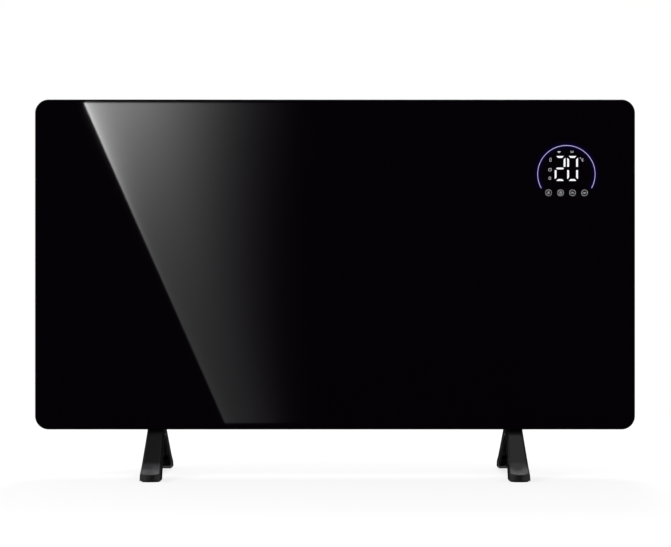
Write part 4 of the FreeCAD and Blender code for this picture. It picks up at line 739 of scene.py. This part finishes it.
@dataclass
class Display:
    """The lit marks behind the upper right of the glass.

    Places are millimetres from the arc's centre, across and up.
    """

    centre: Vector = field(default_factory=lambda: Vector((308.5, -36.0, 403.4)) * MM)
    lift: float = 0.02 * MM
    thickness: float = 0.08 * MM
    arc_radius: float = 38.3
    arc_width: float = 0.75
    arc_end: float = 29.0
    arc_steps: int = 72
    digit_middles: tuple[float, float] = (-8.4, 8.3)
    digit_rise: float = 7.65
    digit_width: float = 14.4
    digit_height: float = 33.2
    segment_width: float = 2.5
    segment_lengths: tuple[float, float] = (9.9, 12.6)
    segment_slant: float = 2.2
    segment_blunt: float = 0.7
    segment_trim: float = 0.5
    segment_point: float = 1.1
    lit_segments: tuple[str, str] = ("abged", "abcdef")
    key_drop: float = -24.8
    key_radius: float = 4.1
    key_stroke: float = 0.23

    def arc_lowest(self) -> float:
        """Return how far below its centre the arc ends, in metres."""
        return self.arc_radius * MM * math.sin(math.radians(self.arc_end))

    def point(self, across: float, up: float) -> Vector:
        """Return a place just in front of the glass from its distances to the arc's centre."""
        return self.centre + Vector((across * MM, -self.lift - self.thickness / 2, up * MM))

    def bar(self, across: float, up: float, length: float, width: float, degrees: float = 0.0,
            point: float = 0.0, cuts: Sequence[float] = ()) -> Piece:
        """Make a flat bar, with pointed ends or slanted corners where these are given.

        Args:
            across: Its middle, across.
            up: Its middle, up.
            length: Its length.
            width: Its width.
            degrees: How far it is turned, anticlockwise from the front.
            point: How far its ends are drawn to a point.
            cuts: How far its lower left, lower right, upper left and upper right corners are drawn in.

        Returns:
            The bar.
        """
        half = Vector((length * MM, self.thickness, width * MM)) / 2
        piece = block(-half, half)
        with editing(piece):
            if point:
                round_edges(piece, along(Axis.Y), point * MM, segments=1)
            for (side, height), drawn in zip(((-1, -1), (1, -1), (-1, 1), (1, 1)), cuts):
                pick(piece, Element.VERT, lambda vert: vert.co.x * side > 0 and vert.co.z * height > 0)
                bpy.ops.transform.translate(value=(-side * drawn * MM, 0.0, 0.0))
        piece.location = self.point(across, up)
        piece.rotation_euler = (0.0, -math.radians(degrees), 0.0)
        return set_origin(piece)

    def ring(self, across: float, up: float, radius: float, stroke: float, steps: int = 40,
             first: float = 0.0, sweep: float = 360.0) -> Piece:
        """Make a flat ring or part of one.

        Args:
            across: Its centre, across.
            up: Its centre, up.
            radius: Its outer radius.
            stroke: The width of its line.
            steps: How many steps it has.
            first: Where it starts, in degrees from the right.
            sweep: How far it goes round, anticlockwise from the front.

        Returns:
            The ring.
        """
        middle = radius - stroke / 2
        start = math.radians(first)
        begin = self.point(across + middle * math.cos(start), up + middle * math.sin(start))
        deselect_all()
        bpy.ops.mesh.primitive_plane_add(size=1, location=begin, rotation=(0.0, -start, 0.0))
        piece = bpy.context.active_object
        piece.scale = (stroke * MM, self.thickness, 1.0)
        set_origin(piece)
        with editing(piece):
            bpy.ops.mesh.select_all(action="SELECT")
            bpy.ops.mesh.spin(steps=steps, angle=math.radians(sweep), center=self.point(across, up),
                              axis=(0.0, 1.0, 0.0), use_auto_merge=False)
            if sweep >= 360.0:
                # A full turn leaves its first and last face inside the ring.
                pick(piece, Element.FACE, lambda face: (face.calc_center_median() - begin).length < TOUCH)
                bpy.ops.mesh.delete(type="FACE")
        outward(piece)
        return piece

    def draw(self, sign: Sign, across: float, up: float) -> list[Piece]:
        """Return the rings and bars of a sign at a place."""
        return ([self.ring(across + ring[0], up + ring[1], *ring[2:]) for ring in sign.rings]
                + [self.bar(across + bar[0], up + bar[1], *bar[2:]) for bar in sign.bars])

    def digit(self, middle: float, lit: str) -> list[Piece]:
        """Make the lit segments of one digit.

        Args:
            middle: The digit's middle, across.
            lit: The letters of its lit segments, clockwise from the top and the middle last.

        Returns:
            The segments.
        """
        side = (self.digit_width - self.segment_width) / 2
        rise = (self.digit_height - self.segment_width) / 2
        slant, blunt, trim = self.segment_slant, self.segment_blunt, self.segment_trim
        level_length, upright_length = self.segment_lengths
        half = (rise + trim) / 2
        shapes = {
            "a": (0, rise, 0, (slant, slant, 0, 0)), "d": (0, -rise, 0, (0, 0, slant, slant)),
            "b": (side, half, 90, (trim, 0, blunt, slant)), "c": (side, -half, 90, (0, trim, slant, blunt)),
            "f": (-side, half, 90, (blunt, slant, trim, 0)), "e": (-side, -half, 90, (slant, blunt, 0, trim)),
            "g": (0, 0, 0, ()),
        }
        segments = []
        for letter in lit:
            across, up, turn, cuts = shapes[letter]
            segments.append(self.bar(middle + across, self.digit_rise + up, upright_length if turn else level_length,
                                     self.segment_width, turn, 0.0 if cuts else self.segment_point, cuts))
        return segments

    def build(self) -> None:
        """Make the arc, the two digits with their unit, the small signs round them and the ringed keys."""
        arc = [self.ring(0, 0, self.arc_radius + self.arc_width / 2, self.arc_width, self.arc_steps, -self.arc_end,
                         180 + 2 * self.arc_end)]
        digits = [piece for middle, lit in zip(self.digit_middles, self.lit_segments)
                  for piece in self.digit(middle, lit)]
        digits += self.draw(UNIT_SIGN, *UNIT_PLACE)
        icons = [piece for place, sign in ICONS.items() for piece in self.draw(sign, *place)]
        keys = [self.ring(place, self.key_drop, self.key_radius, self.key_stroke) for place in KEYS]
        keys += [piece for place, sign in KEYS.items() for piece in self.draw(sign, place, self.key_drop)]
        for name, marks, light in (("display_arc", arc, ARC_LIGHT), ("display_digits", digits, DIGIT_LIGHT),
                                   ("display_icons", icons, MARK_LIGHT), ("display_keys", keys, MARK_LIGHT)):
            dress(join(name, marks), "light_plastic", surface=light)


@dataclass
class GlassPanel:
    """The front glass: a slab with round corners and a ground, polished rim."""

    corner: float = 18 * MM
    rim: float = 0.9 * MM
    back_rim: float = 0.4 * MM

    def build(self, display: Display) -> None:
        """Make the glass.

        Args:
            display: The display whose arc glows through the glass.
        """
        low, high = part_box("front_glass")
        glass = block(low, high, "glass_panel")
        with editing(glass):
            round_edges(glass, along(Axis.Y), self.corner, segments=20)
            round_edges(glass, level(Axis.Y, low.y), self.rim, segments=4)
            round_edges(glass, level(Axis.Y, high.y), self.back_rim, segments=2)
            for face in (low.y, high.y):
                pick(glass, Element.FACE, level(Axis.Y, face))
                bpy.ops.mesh.inset(thickness=self.rim)
        smooth(glass)
        dress(glass, "black_glass", ["front_glass"],
              surface=PrintedGlass("toughened_glass_printed_black", display.centre, display.arc_radius * MM,
                                   display.arc_lowest()))


@dataclass
class RearCase:
    """The drawn steel cover with its pressed panel, vents and keyholes, and the grille in its top."""

    corner: float = 16 * MM
    edge: float = 8 * MM
    gauge: float = 1 * MM
    burr: float = 0.25 * MM
    panel_low: Vector = field(default_factory=lambda: Vector((-327.5, 33.0, 193.0)) * MM)
    panel_high: Vector = field(default_factory=lambda: Vector((182.5, 40.0, 373.0)) * MM)
    panel_corner: float = 20 * MM
    panel_edge: float = 1.6 * MM
    vent_middle: float = -72.5 * MM
    vent_count: int = 20
    vent_pitch: float = 22 * MM
    vent_size: tuple[float, float] = (5 * MM, 40 * MM)
    vent_levels: tuple[float, float] = (141 * MM, 425 * MM)
    inlet_count: int = 14
    inlet_pitch: float = 26 * MM
    inlet_size: tuple[float, float] = (6 * MM, 20 * MM)
    inlet_depth: float = 12.5 * MM
    slot_reach: float = 6 * MM
    slot_round: float = 0.495
    keyhole_side: float = 320 * MM
    keyhole_level: float = 419 * MM
    keyhole_entry: float = 5 * MM
    keyhole_slot: float = 2.5 * MM
    keyhole_rise: float = 12 * MM
    opening_reach: float = 4 * MM
    grille_rounding_mm: float = 0.3
    # The node that fills an opening, the axis of its wall, whether that is the cover's low (0) or high (1) wall, and
    # how far inside the node's outline the opening lies.
    openings: tuple[tuple[str, Axis, int, Place], ...] = (
        ("outlet_grille", Axis.Z, 1, (4.2, 4.2, 0.0)),
        ("switch_housing", Axis.X, 1, (0.0, 1.6, 1.6)),
        ("sensor_cage", Axis.Z, 0, (3.8, 3.8, 0.0)),
    )

    def pan(self) -> Piece:
        """Make the drawn pan with its pressed panel, as sheet of one gauge.

        Returns:
            The pan.
        """
        low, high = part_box("rear_cover")
        cover = block(low, high, "rear_cover_pressing")
        with editing(cover):
            round_edges(cover, along(Axis.Y), self.corner, segments=10)
            round_edges(cover, level(Axis.Y, high.y), self.edge, segments=6)
        die = block(self.panel_low, self.panel_high, "panel_die")
        with editing(die):
            round_edges(die, along(Axis.Y), self.panel_corner, segments=8)
            round_edges(die, level(Axis.Y, self.panel_low.y), self.panel_edge, segments=3)
        cut_away(cover, die)
        with editing(cover):
            pick(cover, Element.FACE, level(Axis.Y, low.y))
            bpy.ops.mesh.delete(type="FACE")
        apply_modifier(cover, "SOLIDIFY", {"thickness": self.gauge, "offset": -1.0})
        return cover

    def slot_row(self, middle: Vector, size: tuple[float, float], tall: Axis, through: Axis, count: int = 1,
                 pitch: float = 0.0) -> Piece:
        """Make a row of round-ended cutters along X.

        Args:
            middle: The middle of the row.
            size: The width and the length of a slot.
            tall: The axis that a slot is long in.
            through: The axis that it cuts through.
            count: How many there are.
            pitch: How far apart they are.

        Returns:
            The row as one piece.
        """
        half = Vector((size[0] / 2, 0, 0))
        half[tall] = size[1] / 2
        half[through] = self.slot_reach
        first = middle - Vector((pitch * (count - 1) / 2, 0, 0))
        row = block(first - half, first + half)
        with editing(row):
            round_edges(row, along(through), size[0] * self.slot_round, segments=6)
        apply_modifier(row, "ARRAY", {"count": count, "use_relative_offset": False, "use_constant_offset": True,
                                      "constant_offset_displace": (pitch, 0.0, 0.0)})
        return row

    def keyhole(self, side: float, back: float) -> list[Piece]:
        """Make the cutters of one keyhole: a round entry and a narrower slot above it.

        Args:
            side: The keyhole's place along X.
            back: The level of the cover's back.

        Returns:
            The two cutters.
        """
        deselect_all()
        bpy.ops.mesh.primitive_cylinder_add(vertices=40, radius=self.keyhole_entry, depth=2 * self.slot_reach,
                                            location=(side, back, self.keyhole_level),
                                            rotation=(QUARTER_TURN, 0.0, 0.0))
        entry = set_origin(bpy.context.active_object)
        middle = Vector((side, back, self.keyhole_level + self.keyhole_rise / 2))
        size = (2 * self.keyhole_slot, self.keyhole_rise + 2 * self.keyhole_slot)
        return [entry, self.slot_row(middle, size, Axis.Z, Axis.Y)]

    def cutters(self) -> Iterator[Piece]:
        """Make what is cut out of the pan, one after the other.

        Yields:
            The vents, the inlets, the keyholes and the openings that other pieces fill.
        """
        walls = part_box("rear_cover")
        low, high = walls
        for height in self.vent_levels:
            yield self.slot_row(Vector((self.vent_middle, high.y, height)), self.vent_size, Axis.Z, Axis.Y,
                                self.vent_count, self.vent_pitch)
        yield self.slot_row(Vector((0.0, self.inlet_depth, low.z)), self.inlet_size, Axis.Y, Axis.Z,
                            self.inlet_count, self.inlet_pitch)
        for side in (-self.keyhole_side, self.keyhole_side):
            yield from self.keyhole(side, high.y)
        for node, axis, wall, margin in self.openings:
            node_low, node_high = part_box(node)
            node_low[axis] = walls[wall][axis] - self.opening_reach
            node_high[axis] = walls[wall][axis] + self.opening_reach
            inside = Vector(margin) * MM
            yield block(node_low + inside, node_high - inside)

    def build(self) -> None:
        """Make the cover and its grille."""
        cover = self.pan()
        for cutter in self.cutters():
            cut_away(cover, cutter)
        soften(cover, self.burr, segments=2, degrees=50.0)
        smooth(cover)
        dress(cover, "powder_coat", ["rear_cover"])
        dress(refined("outlet_grille", self.grille_rounding_mm, merged=False), "case_plastic", ["outlet_grille"])


@dataclass
class Screws:
    """The cross-recessed pan-head screws round the rim of the cover."""

    head_radius: float = 3.5 * MM
    head_height: float = 2.2 * MM
    head_round: float = 1.3 * MM
    shank_radius: float = 1.9 * MM
    shank_length: float = 4 * MM
    recess: Place = (4.0 * MM, 0.9 * MM, 1.3 * MM)
    depth: float = -19.9 * MM
    reach: float = 310 * MM
    levels: tuple[float, float] = (199 * MM, 367 * MM)

    def pattern(self) -> Piece:
        """Make one screw with its head on z = 0, pointing up.

        Returns:
            The screw.
        """
        deselect_all()
        bpy.ops.mesh.primitive_cylinder_add(vertices=28, radius=self.head_radius, depth=self.head_height,
                                            location=(0, 0, self.head_height / 2))
        screw = set_origin(bpy.context.active_object)
        with editing(screw):
            round_edges(screw, level(Axis.Z, self.head_height), self.head_round, segments=5)
            pick(screw, Element.FACE, level(Axis.Z, 0.0))
            bpy.ops.mesh.inset(thickness=self.head_radius - self.shank_radius)
            bpy.ops.mesh.extrude_region_move(TRANSFORM_OT_translate={"value": (0, 0, -self.shank_length)})
        length, width, sink = self.recess
        top = Vector((0, 0, self.head_height))
        for across, deep in ((length, width), (width, length)):
            half = Vector((across / 2, deep / 2, sink))
            cut_away(screw, block(top - half, top + half))
        return screw

    def build(self) -> None:
        """Make a screw at every hole of the rim."""
        low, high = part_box("rear_cover")
        places = [((x, self.depth, z), (turn, 0.0, 0.0)) for x in (-self.reach, self.reach)
                  for z, turn in ((low.z, math.pi), (high.z, 0.0))]
        places += [((x, self.depth, z), (0.0, turn, 0.0)) for z in self.levels
                   for x, turn in ((low.x, -QUARTER_TURN), (high.x, QUARTER_TURN))]
        pattern = self.pattern()
        copies = []
        for place, turn in places:
            copy = copied("screw", pattern.data)
            copy.location = place
            copy.rotation_euler = turn
            copies.append(set_origin(copy))
        bpy.data.objects.remove(pattern, do_unlink=True)
        screws = join("rim_screws", copies)
        smooth(screws)
        dress(screws, "screw_steel", ["cover_screws"])


@dataclass
class Feet:
    """The two hollow feet and their rubber pads."""

    rounding_mm: float = 0.6
    pad_half: float = 12 * MM
    pad_inner: float = 94 * MM
    pad_tip: float = 117.2 * MM
    pad_height: float = 1.5 * MM
    pad_nose: float = 10 * MM
    pad_edge: float = 0.5 * MM

    def pads(self, side: str) -> Piece:
        """Make the two pads under one foot, round towards the tips of its toes.

        Args:
            side: The foot's side.

        Returns:
            Both pads as one piece.
        """
        low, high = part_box(f"foot_pads_{side}")
        middle = (low.x + high.x) / 2
        pads = []
        for end in (-1, 1):
            near, far = sorted((end * self.pad_inner, end * self.pad_tip))
            pad = block(Vector((middle - self.pad_half, near, low.z)),
                        Vector((middle + self.pad_half, far, low.z + self.pad_height)))
            with editing(pad):
                round_edges(pad, lambda edge: along(Axis.Z)(edge) and edge.verts[0].co.y * end > self.pad_tip - MM,
                            self.pad_nose, segments=8)
                round_edges(pad, level(Axis.Z, low.z), self.pad_edge, segments=3)
            pads.append(pad)
        return join(f"foot_pads_{side}_rubber", pads)

    def build(self) -> None:
        """Make both feet."""
        for side in ("left", "right"):
            dress(refined(f"foot_{side}", self.rounding_mm, segments=3), "foot_plastic", [f"foot_{side}"])
            pads = self.pads(side)
            smooth(pads)
            dress(pads, "rubber", [f"foot_pads_{side}"])


@dataclass
class SideFittings:
    """The mains switch with its printed rocker, the cord gland and the room sensor's cage."""

    rounding_mm: float = 0.4
    mark_size: float = 3.2 * MM
    mark_stroke: float = 0.6 * MM
    mark_round: float = 0.48
    mark_height: float = 0.16 * MM
    least_area: float = 20 * MM * MM
    same_plane: float = 0.9999
    finishes: tuple[tuple[str, str, Body], ...] = (
        ("switch_housing", "switch_plastic", Body.HEATER), ("switch_rocker", "switch_plastic", Body.ROCKER),
        ("cord_gland", "case_plastic", Body.HEATER), ("sensor_cage", "case_plastic", Body.HEATER),
    )

    def rocker_half(self, sign: int) -> tuple[Vector, Vector]:
        """Find one half of the rocker's bent face.

        Args:
            sign: 1 for the half that looks up most, -1 for the one that looks down most.

        Returns:
            The middle of that half and its normal.
        """
        faces = [face for face in frame["nodes"]["switch_rocker"].data.polygons
                 if face.normal.x > FACING and face.area > self.least_area]
        normal = max(faces, key=lambda face: sign * face.normal.z).normal.copy()
        flat = [face for face in faces if face.normal.dot(normal) > self.same_plane]
        middle = sum((face.center * face.area for face in flat), Vector()) / sum(face.area for face in flat)
        return middle, normal

    def stroke(self) -> Piece:
        """Make the round-ended stroke for on, flat on z = 0 and long in X.

        Returns:
            The stroke.
        """
        half = Vector((self.mark_size, self.mark_stroke, self.mark_height)) / 2
        piece = block(-half, half)
        with editing(piece):
            round_edges(piece, along(Axis.Z), self.mark_stroke * self.mark_round, segments=4)
        return piece

    def circle(self) -> Piece:
        """Make the ring for off, flat on z = 0.

        Returns:
            The ring.
        """
        deselect_all()
        bpy.ops.mesh.primitive_cylinder_add(vertices=36, radius=self.mark_size / 2, depth=self.mark_height)
        piece = bpy.context.active_object
        with editing(piece):
            pick(piece, Element.FACE, lambda face: abs(face.normal.z) > FACING)
            bpy.ops.mesh.inset(thickness=self.mark_stroke)
            bpy.ops.mesh.delete(type="FACE")
            pick(piece, Element.EDGE, lambda edge: edge.is_boundary)
            bpy.ops.mesh.bridge_edge_loops()
        outward(piece)
        return piece

    def build(self) -> None:
        """Make the fittings from their nodes, with softer edges, and print on and off on the rocker."""
        for node, slot, body in self.finishes:
            dress(refined(node, self.rounding_mm), slot, [node], body)
        marks = []
        for sign, mark in ((-1, self.stroke()), (1, self.circle())):
            middle, normal = self.rocker_half(sign)
            mark.rotation_euler = (0.0, math.atan2(normal.x, normal.z), 0.0)
            mark.location = middle
            marks.append(set_origin(mark))
        dress(join("rocker_marks", marks), "switch_plastic", body=Body.ROCKER, surface=SIGN_PAINT)


class Innards:
    """The pieces inside the case, which keep their solids and get their finishes."""

    def build(self) -> None:
        """Give every node that is still shown the finish of its slot."""
        for row in frame["record"]["subparts"]:
            node = frame["nodes"][row["node"]]
            if not node.hide_render:
                finish = FINISHES[row["material_slot"]]
                node.data.materials.clear()
                node.data.materials.append(finish.material())
                log.info("%s: %s", row["node"], finish.name)


# The studio. Its sizes and places are in metres.
@dataclass(frozen=True)
class Cloth(Surface):
    """A flat cloth that only polished pieces mirror: black, or brighter along an axis."""

    low: Place
    high: Place
    flat_axis: Axis
    strength: float = 0.0
    fade_axis: Axis = Axis.X
    dark_at: float = 0.0
    bright_at: float = 0.0

    def _shade(self, tree: Tree) -> Socket:
        """Give an even light, or one that fades between two places.

        Args:
            tree: The material's node tree.

        Returns:
            The shader's output.
        """
        links = {}
        if self.dark_at != self.bright_at:
            place = add_node(tree, "TexCoord").outputs["Object"]
            way = add_node(tree, "SeparateXYZ", {}, {0: place}).outputs[self.fade_axis]
            fade = add_node(tree, "MapRange", SMOOTH_RANGE | {"From Min": self.dark_at, "From Max": self.bright_at,
                                                              "To Max": self.strength}, {"Value": way})
            links["Strength"] = fade.outputs["Result"]
        return add_node(tree, "Emission", {"Strength": self.strength}, links).outputs["Emission"]


@dataclass(frozen=True)
class FloorPaint(Surface):
    """A pale floor, which the camera sees whiter away from the heater and its soft shadow."""

    colour: str = "#f4f4f4"
    near: float = 0.5
    far: float = 1.5
    near_white: float = 0.75

    def _shade(self, tree: Tree) -> Socket:
        """Mix the paint with plain white for the camera.

        Args:
            tree: The material's node tree.

        Returns:
            The shader's output.
        """
        paint = add_node(tree, "BsdfDiffuse", {"Color": linear(self.colour)})
        white = add_node(tree, "Emission", {"Color": WHITE, "Strength": 1.0})
        seen = add_node(tree, "LightPath").outputs["Is Camera Ray"]
        away = add_node(tree, "VectorMath", {"operation": "LENGTH"}, {0: add_node(tree, "TexCoord").outputs["Object"]})
        whiter = add_node(tree, "MapRange", SMOOTH_RANGE | {"From Min": self.near, "From Max": self.far,
                                                            "To Min": self.near_white},
                          {"Value": away.outputs["Value"]})
        share = add_node(tree, "Math", PRODUCT, {0: seen, 1: whiter.outputs["Result"]})
        mix = add_node(tree, "MixShader", {}, {0: share.outputs[0], 1: paint.outputs[0], 2: white.outputs[0]})
        return mix.outputs["Shader"]


@dataclass(frozen=True)
class CardLight(Surface):
    """A softbox whose light follows the brightness kept at the points of its card."""

    def _shade(self, tree: Tree) -> Socket:
        """Return a light as strong as the card's brightness."""
        strength = add_node(tree, "Attribute", {"attribute_name": "brightness"}).outputs["Fac"]
        return add_node(tree, "Emission", {}, {"Strength": strength}).outputs["Emission"]


@dataclass(frozen=True)
class Glow:
    """One share of the softbox's light as the glass shows it, which fades down the card and across it."""

    base: float
    top: float
    down: float
    down_power: float
    across: float
    across_power: float

    def at(self, share: float, drop: float) -> float:
        """Return the brightness at a share of the card's width and of its height."""
        upright = self.base + self.top * math.exp(-(drop / self.down) ** self.down_power)
        return upright * math.exp(-(share / self.across) ** self.across_power)


@dataclass(frozen=True)
class Lamp:
    """A square soft lamp with its place, the length of its sides and its power in watts."""

    name: str
    place: Place
    size: float
    power: float

    def build(self, aim: Vector) -> None:
        """Hang the lamp.

        Args:
            aim: The place that it faces.
        """
        lamp = bpy.data.lights.new(self.name, "AREA")
        lamp.size = self.size
        lamp.energy = self.power
        holder = bpy.data.objects.new(self.name, lamp)
        holder.location = self.place
        holder.rotation_euler = (aim - Vector(self.place)).to_track_quat("-Z", "Y").to_euler()
        bpy.context.scene.collection.objects.link(holder)


# A dark tent round the heater, with light at its front corners, its top and behind.
CLOTHS: tuple[Cloth, ...] = (
    Cloth("front_left_cloth", (-3.2, -4.3, -0.4), (0.0, -4.3, 2.6), Axis.Y, 0.6, Axis.X, -1.0, -2.6),
    Cloth("front_right_cloth", (0.0, -4.3, -0.4), (3.2, -4.3, 2.6), Axis.Y, 0.6, Axis.X, 1.0, 2.6),
    Cloth("rear_cloth", (-3.2, 2.6, -0.4), (3.2, 2.6, 2.6), Axis.Y),
    Cloth("left_cloth", (-3.2, -4.3, -0.4), (-3.2, 2.6, 2.6), Axis.X, 0.6, Axis.Y, 0.1, -1.0),
    Cloth("right_cloth", (3.2, -4.3, -0.4), (3.2, 2.6, 2.6), Axis.X, 0.6, Axis.Y, 0.1, -1.0),
    Cloth("under_left_cloth", (-3.2, -4.3, -0.4), (0.0, 0.5, -0.4), Axis.Z, 0.6, Axis.X, -1.0, -2.6),
    Cloth("under_right_cloth", (0.0, -4.3, -0.4), (3.2, 0.5, -0.4), Axis.Z, 0.6, Axis.X, 1.0, 2.6),
    Cloth("under_rear_cloth", (-3.2, 0.5, -0.4), (3.2, 2.6, -0.4), Axis.Z, 0.5),
    Cloth("ceiling_cloth", (-3.2, -4.3, 2.6), (3.2, 2.6, 2.6), Axis.Z, 0.35),
)
# The broad light of the card, the hot strip along its left edge and the glint on that edge.
CARD_GLOWS = (Glow(0.0135, 0.195, 0.25, 1, 0.43, 2.3), Glow(0.012, 0.31, 0.22, 2, 0.05, 1),
              Glow(0.0, 0.22, 0.35, 2, 0.008, 1))
LAMPS = (Lamp("key_lamp", (-2.2, -1.6, 2.0), 1.2, 40.0), Lamp("top_lamp", (0.45, -0.9, 2.3), 0.9, 5.5),
         Lamp("rear_lamp", (0.2, 1.8, 2.0), 1.0, 45.0))


@dataclass
class Studio:
    """A pale floor, soft light, a camera at the photo's place and what the glass mirrors.

    The card's edges, like middle_pixel and top_pixel, are in pixels of the photo.
    """

    image: tuple[int, int] = (671, 547)
    pixel: float = 1 / 0.75 * MM
    middle_pixel: float = 335.0
    top_pixel: float = 99.5
    glass_top: float = 503 * MM
    glass_face: float = -36 * MM
    distance: float = 3.006
    sensor: float = 36.0
    clip: tuple[float, float] = (0.05, 50.0)
    floor_low: Place = (-6.0, -3.6, 0.0)
    floor_high: Place = (6.0, 6.0, 0.0)
    card_steps: int = 90
    card_crowding: float = 1.6
    card_depth: float = -4.1
    card_top: float = 102.8
    card_bottom: float = 423.0
    card_left: tuple[float, float] = (84.0, 225.0)
    card_right: float = 330.0
    card_fade: float = 0.2
    mirror_share: float = 0.04
    lamp_aim: Place = (0.0, 0.0, 0.25)
    world_lit: float = 0.75
    world_seen: float = 1.0

    def place(self, across: float, down: float) -> Vector:
        """Return the place on the glass that a pixel of the photo shows."""
        return Vector(((across - self.middle_pixel) * self.pixel, self.glass_face,
                       self.glass_top - (down - self.top_pixel) * self.pixel))

    def camera_place(self) -> Vector:
        """Return the camera's place, level with the middle of the image."""
        return self.place(self.image[0] / 2, self.image[1] / 2) - Vector((0.0, self.distance, 0.0))

    def mirrored(self, across: float, down: float) -> Vector:
        """Return the place on the card that the camera sees mirrored at a pixel.

        Args:
            across: The pixel's column.
            down: The pixel's row.

        Returns:
            The place in front of the glass.
        """
        eye = self.camera_place()
        eye.y = 2 * self.glass_face - eye.y
        seen = self.place(across, down)
        return eye + (seen - eye) * ((self.card_depth - eye.y) / (seen.y - eye.y))

    def build_camera(self) -> None:
        """Add the camera."""
        lens = bpy.data.cameras.new("camera")
        lens.sensor_width = self.sensor
        lens.lens = self.sensor * self.distance / (self.image[0] * self.pixel)
        lens.clip_start, lens.clip_end = self.clip
        camera = bpy.data.objects.new("camera", lens)
        camera.location = self.camera_place()
        camera.rotation_euler = (QUARTER_TURN, 0.0, 0.0)
        bpy.context.scene.collection.objects.link(camera)
        bpy.context.scene.camera = camera

    def prop(self, piece: Piece, surface: Surface, *unseen: str) -> None:
        """Give a piece of the stage its material and hide it from some rays.

        Args:
            piece: The piece of the stage.
            surface: Its material.
            unseen: The kinds of rays that don't meet it.
        """
        piece.data.materials.append(surface.material())
        for ray in unseen:
            setattr(piece, f"visible_{ray}", False)

    def sheet(self, name: str, low: Vector, high: Vector, flat_axis: Axis) -> Piece:
        """Add a flat sheet between two corners, square to an axis.

        Args:
            name: Its name.
            low: Its lowest corner.
            high: Its highest corner.
            flat_axis: The axis that it has no thickness in.

        Returns:
            The sheet.
        """
        span = high - low
        turn, size = {
            Axis.X: ((0.0, QUARTER_TURN, 0.0), (span.z, span.y, 1.0)),
            Axis.Y: ((QUARTER_TURN, 0.0, 0.0), (span.x, span.z, 1.0)),
            Axis.Z: ((0.0, 0.0, 0.0), (span.x, span.y, 1.0)),
        }[flat_axis]
        deselect_all()
        bpy.ops.mesh.primitive_plane_add(size=1, location=(low + high) / 2, rotation=turn)
        piece = bpy.context.active_object
        piece.scale = size
        piece.name = name
        return set_origin(piece)

    def build_card(self) -> None:
        """Add the softbox's slanted card, whose fading light the glass mirrors."""
        deselect_all()
        bpy.ops.mesh.primitive_grid_add(x_subdivisions=self.card_steps, y_subdivisions=self.card_steps, size=1)
        card = bpy.context.active_object
        card.name = "softbox_card"
        brightness = card.data.attributes.new("brightness", "FLOAT", "POINT")
        for vert in card.data.vertices:
            share, drop = (vert.co.x + 0.5) ** self.card_crowding, 0.5 - vert.co.y
            left = self.card_left[0] + (self.card_left[1] - self.card_left[0]) * drop
            light = sum(glow.at(share, drop) for glow in CARD_GLOWS) * min((1.0 - share) / self.card_fade, 1.0)
            brightness.data[vert.index].value = light / self.mirror_share
            vert.co = self.mirrored(left + (self.card_right - left) * share,
                                    self.card_top + (self.card_bottom - self.card_top) * drop)
        self.prop(card, CardLight("softbox_fading_light"), "camera", "diffuse", "shadow")

    def build_world(self) -> None:
        """Make a white surround for what is seen and mirrored, and a softer one for what is lit."""
        world = bpy.data.worlds.new("studio_world")
        bpy.context.scene.world = world
        world.use_nodes = True
        tree = world.node_tree
        tree.nodes.clear()
        path = add_node(tree, "LightPath")
        direct = add_node(tree, "Math", {"operation": "MAXIMUM"},
                          {0: path.outputs["Is Camera Ray"], 1: path.outputs["Is Glossy Ray"]})
        seen = add_node(tree, "Math", {"operation": "MAXIMUM"},
                        {0: direct.outputs[0], 1: path.outputs["Is Transmission Ray"]})
        strength = add_node(tree, "MapRange", {"To Min": self.world_lit, "To Max": self.world_seen},
                            {"Value": seen.outputs[0]})
        back = add_node(tree, "Background", {"Color": WHITE}, {"Strength": strength.outputs["Result"]})
        add_node(tree, "OutputWorld", {}, {"Surface": back.outputs["Background"]})

    def build(self) -> None:
        """Set up the whole studio."""
        self.build_camera()
        floor = self.sheet("floor", Vector(self.floor_low), Vector(self.floor_high), Axis.Z)
        self.prop(floor, FloorPaint("studio_floor_white"), "glossy")
        for cloth in CLOTHS:
            name = cloth.name.replace("cloth", "sheet")
            piece = self.sheet(name, Vector(cloth.low), Vector(cloth.high), cloth.flat_axis)
            self.prop(piece, cloth, "camera", "shadow", "diffuse", "transmission")
        self.build_card()
        for lamp in LAMPS:
            lamp.build(Vector(self.lamp_aim))
        self.build_world()
        bpy.context.scene.view_settings.view_transform = "Standard"


def main() -> None:
    """Build every sub-assembly and the studio round it."""
    logging.basicConfig(level=logging.INFO, format="%(message)s")
    display = Display()
    GlassPanel().build(display)
    display.build()
    RearCase().build()
    Screws().build()
    Feet().build()
    SideFittings().build()
    Innards().build()
    Studio().build()


if __name__ == "__main__":
    main()
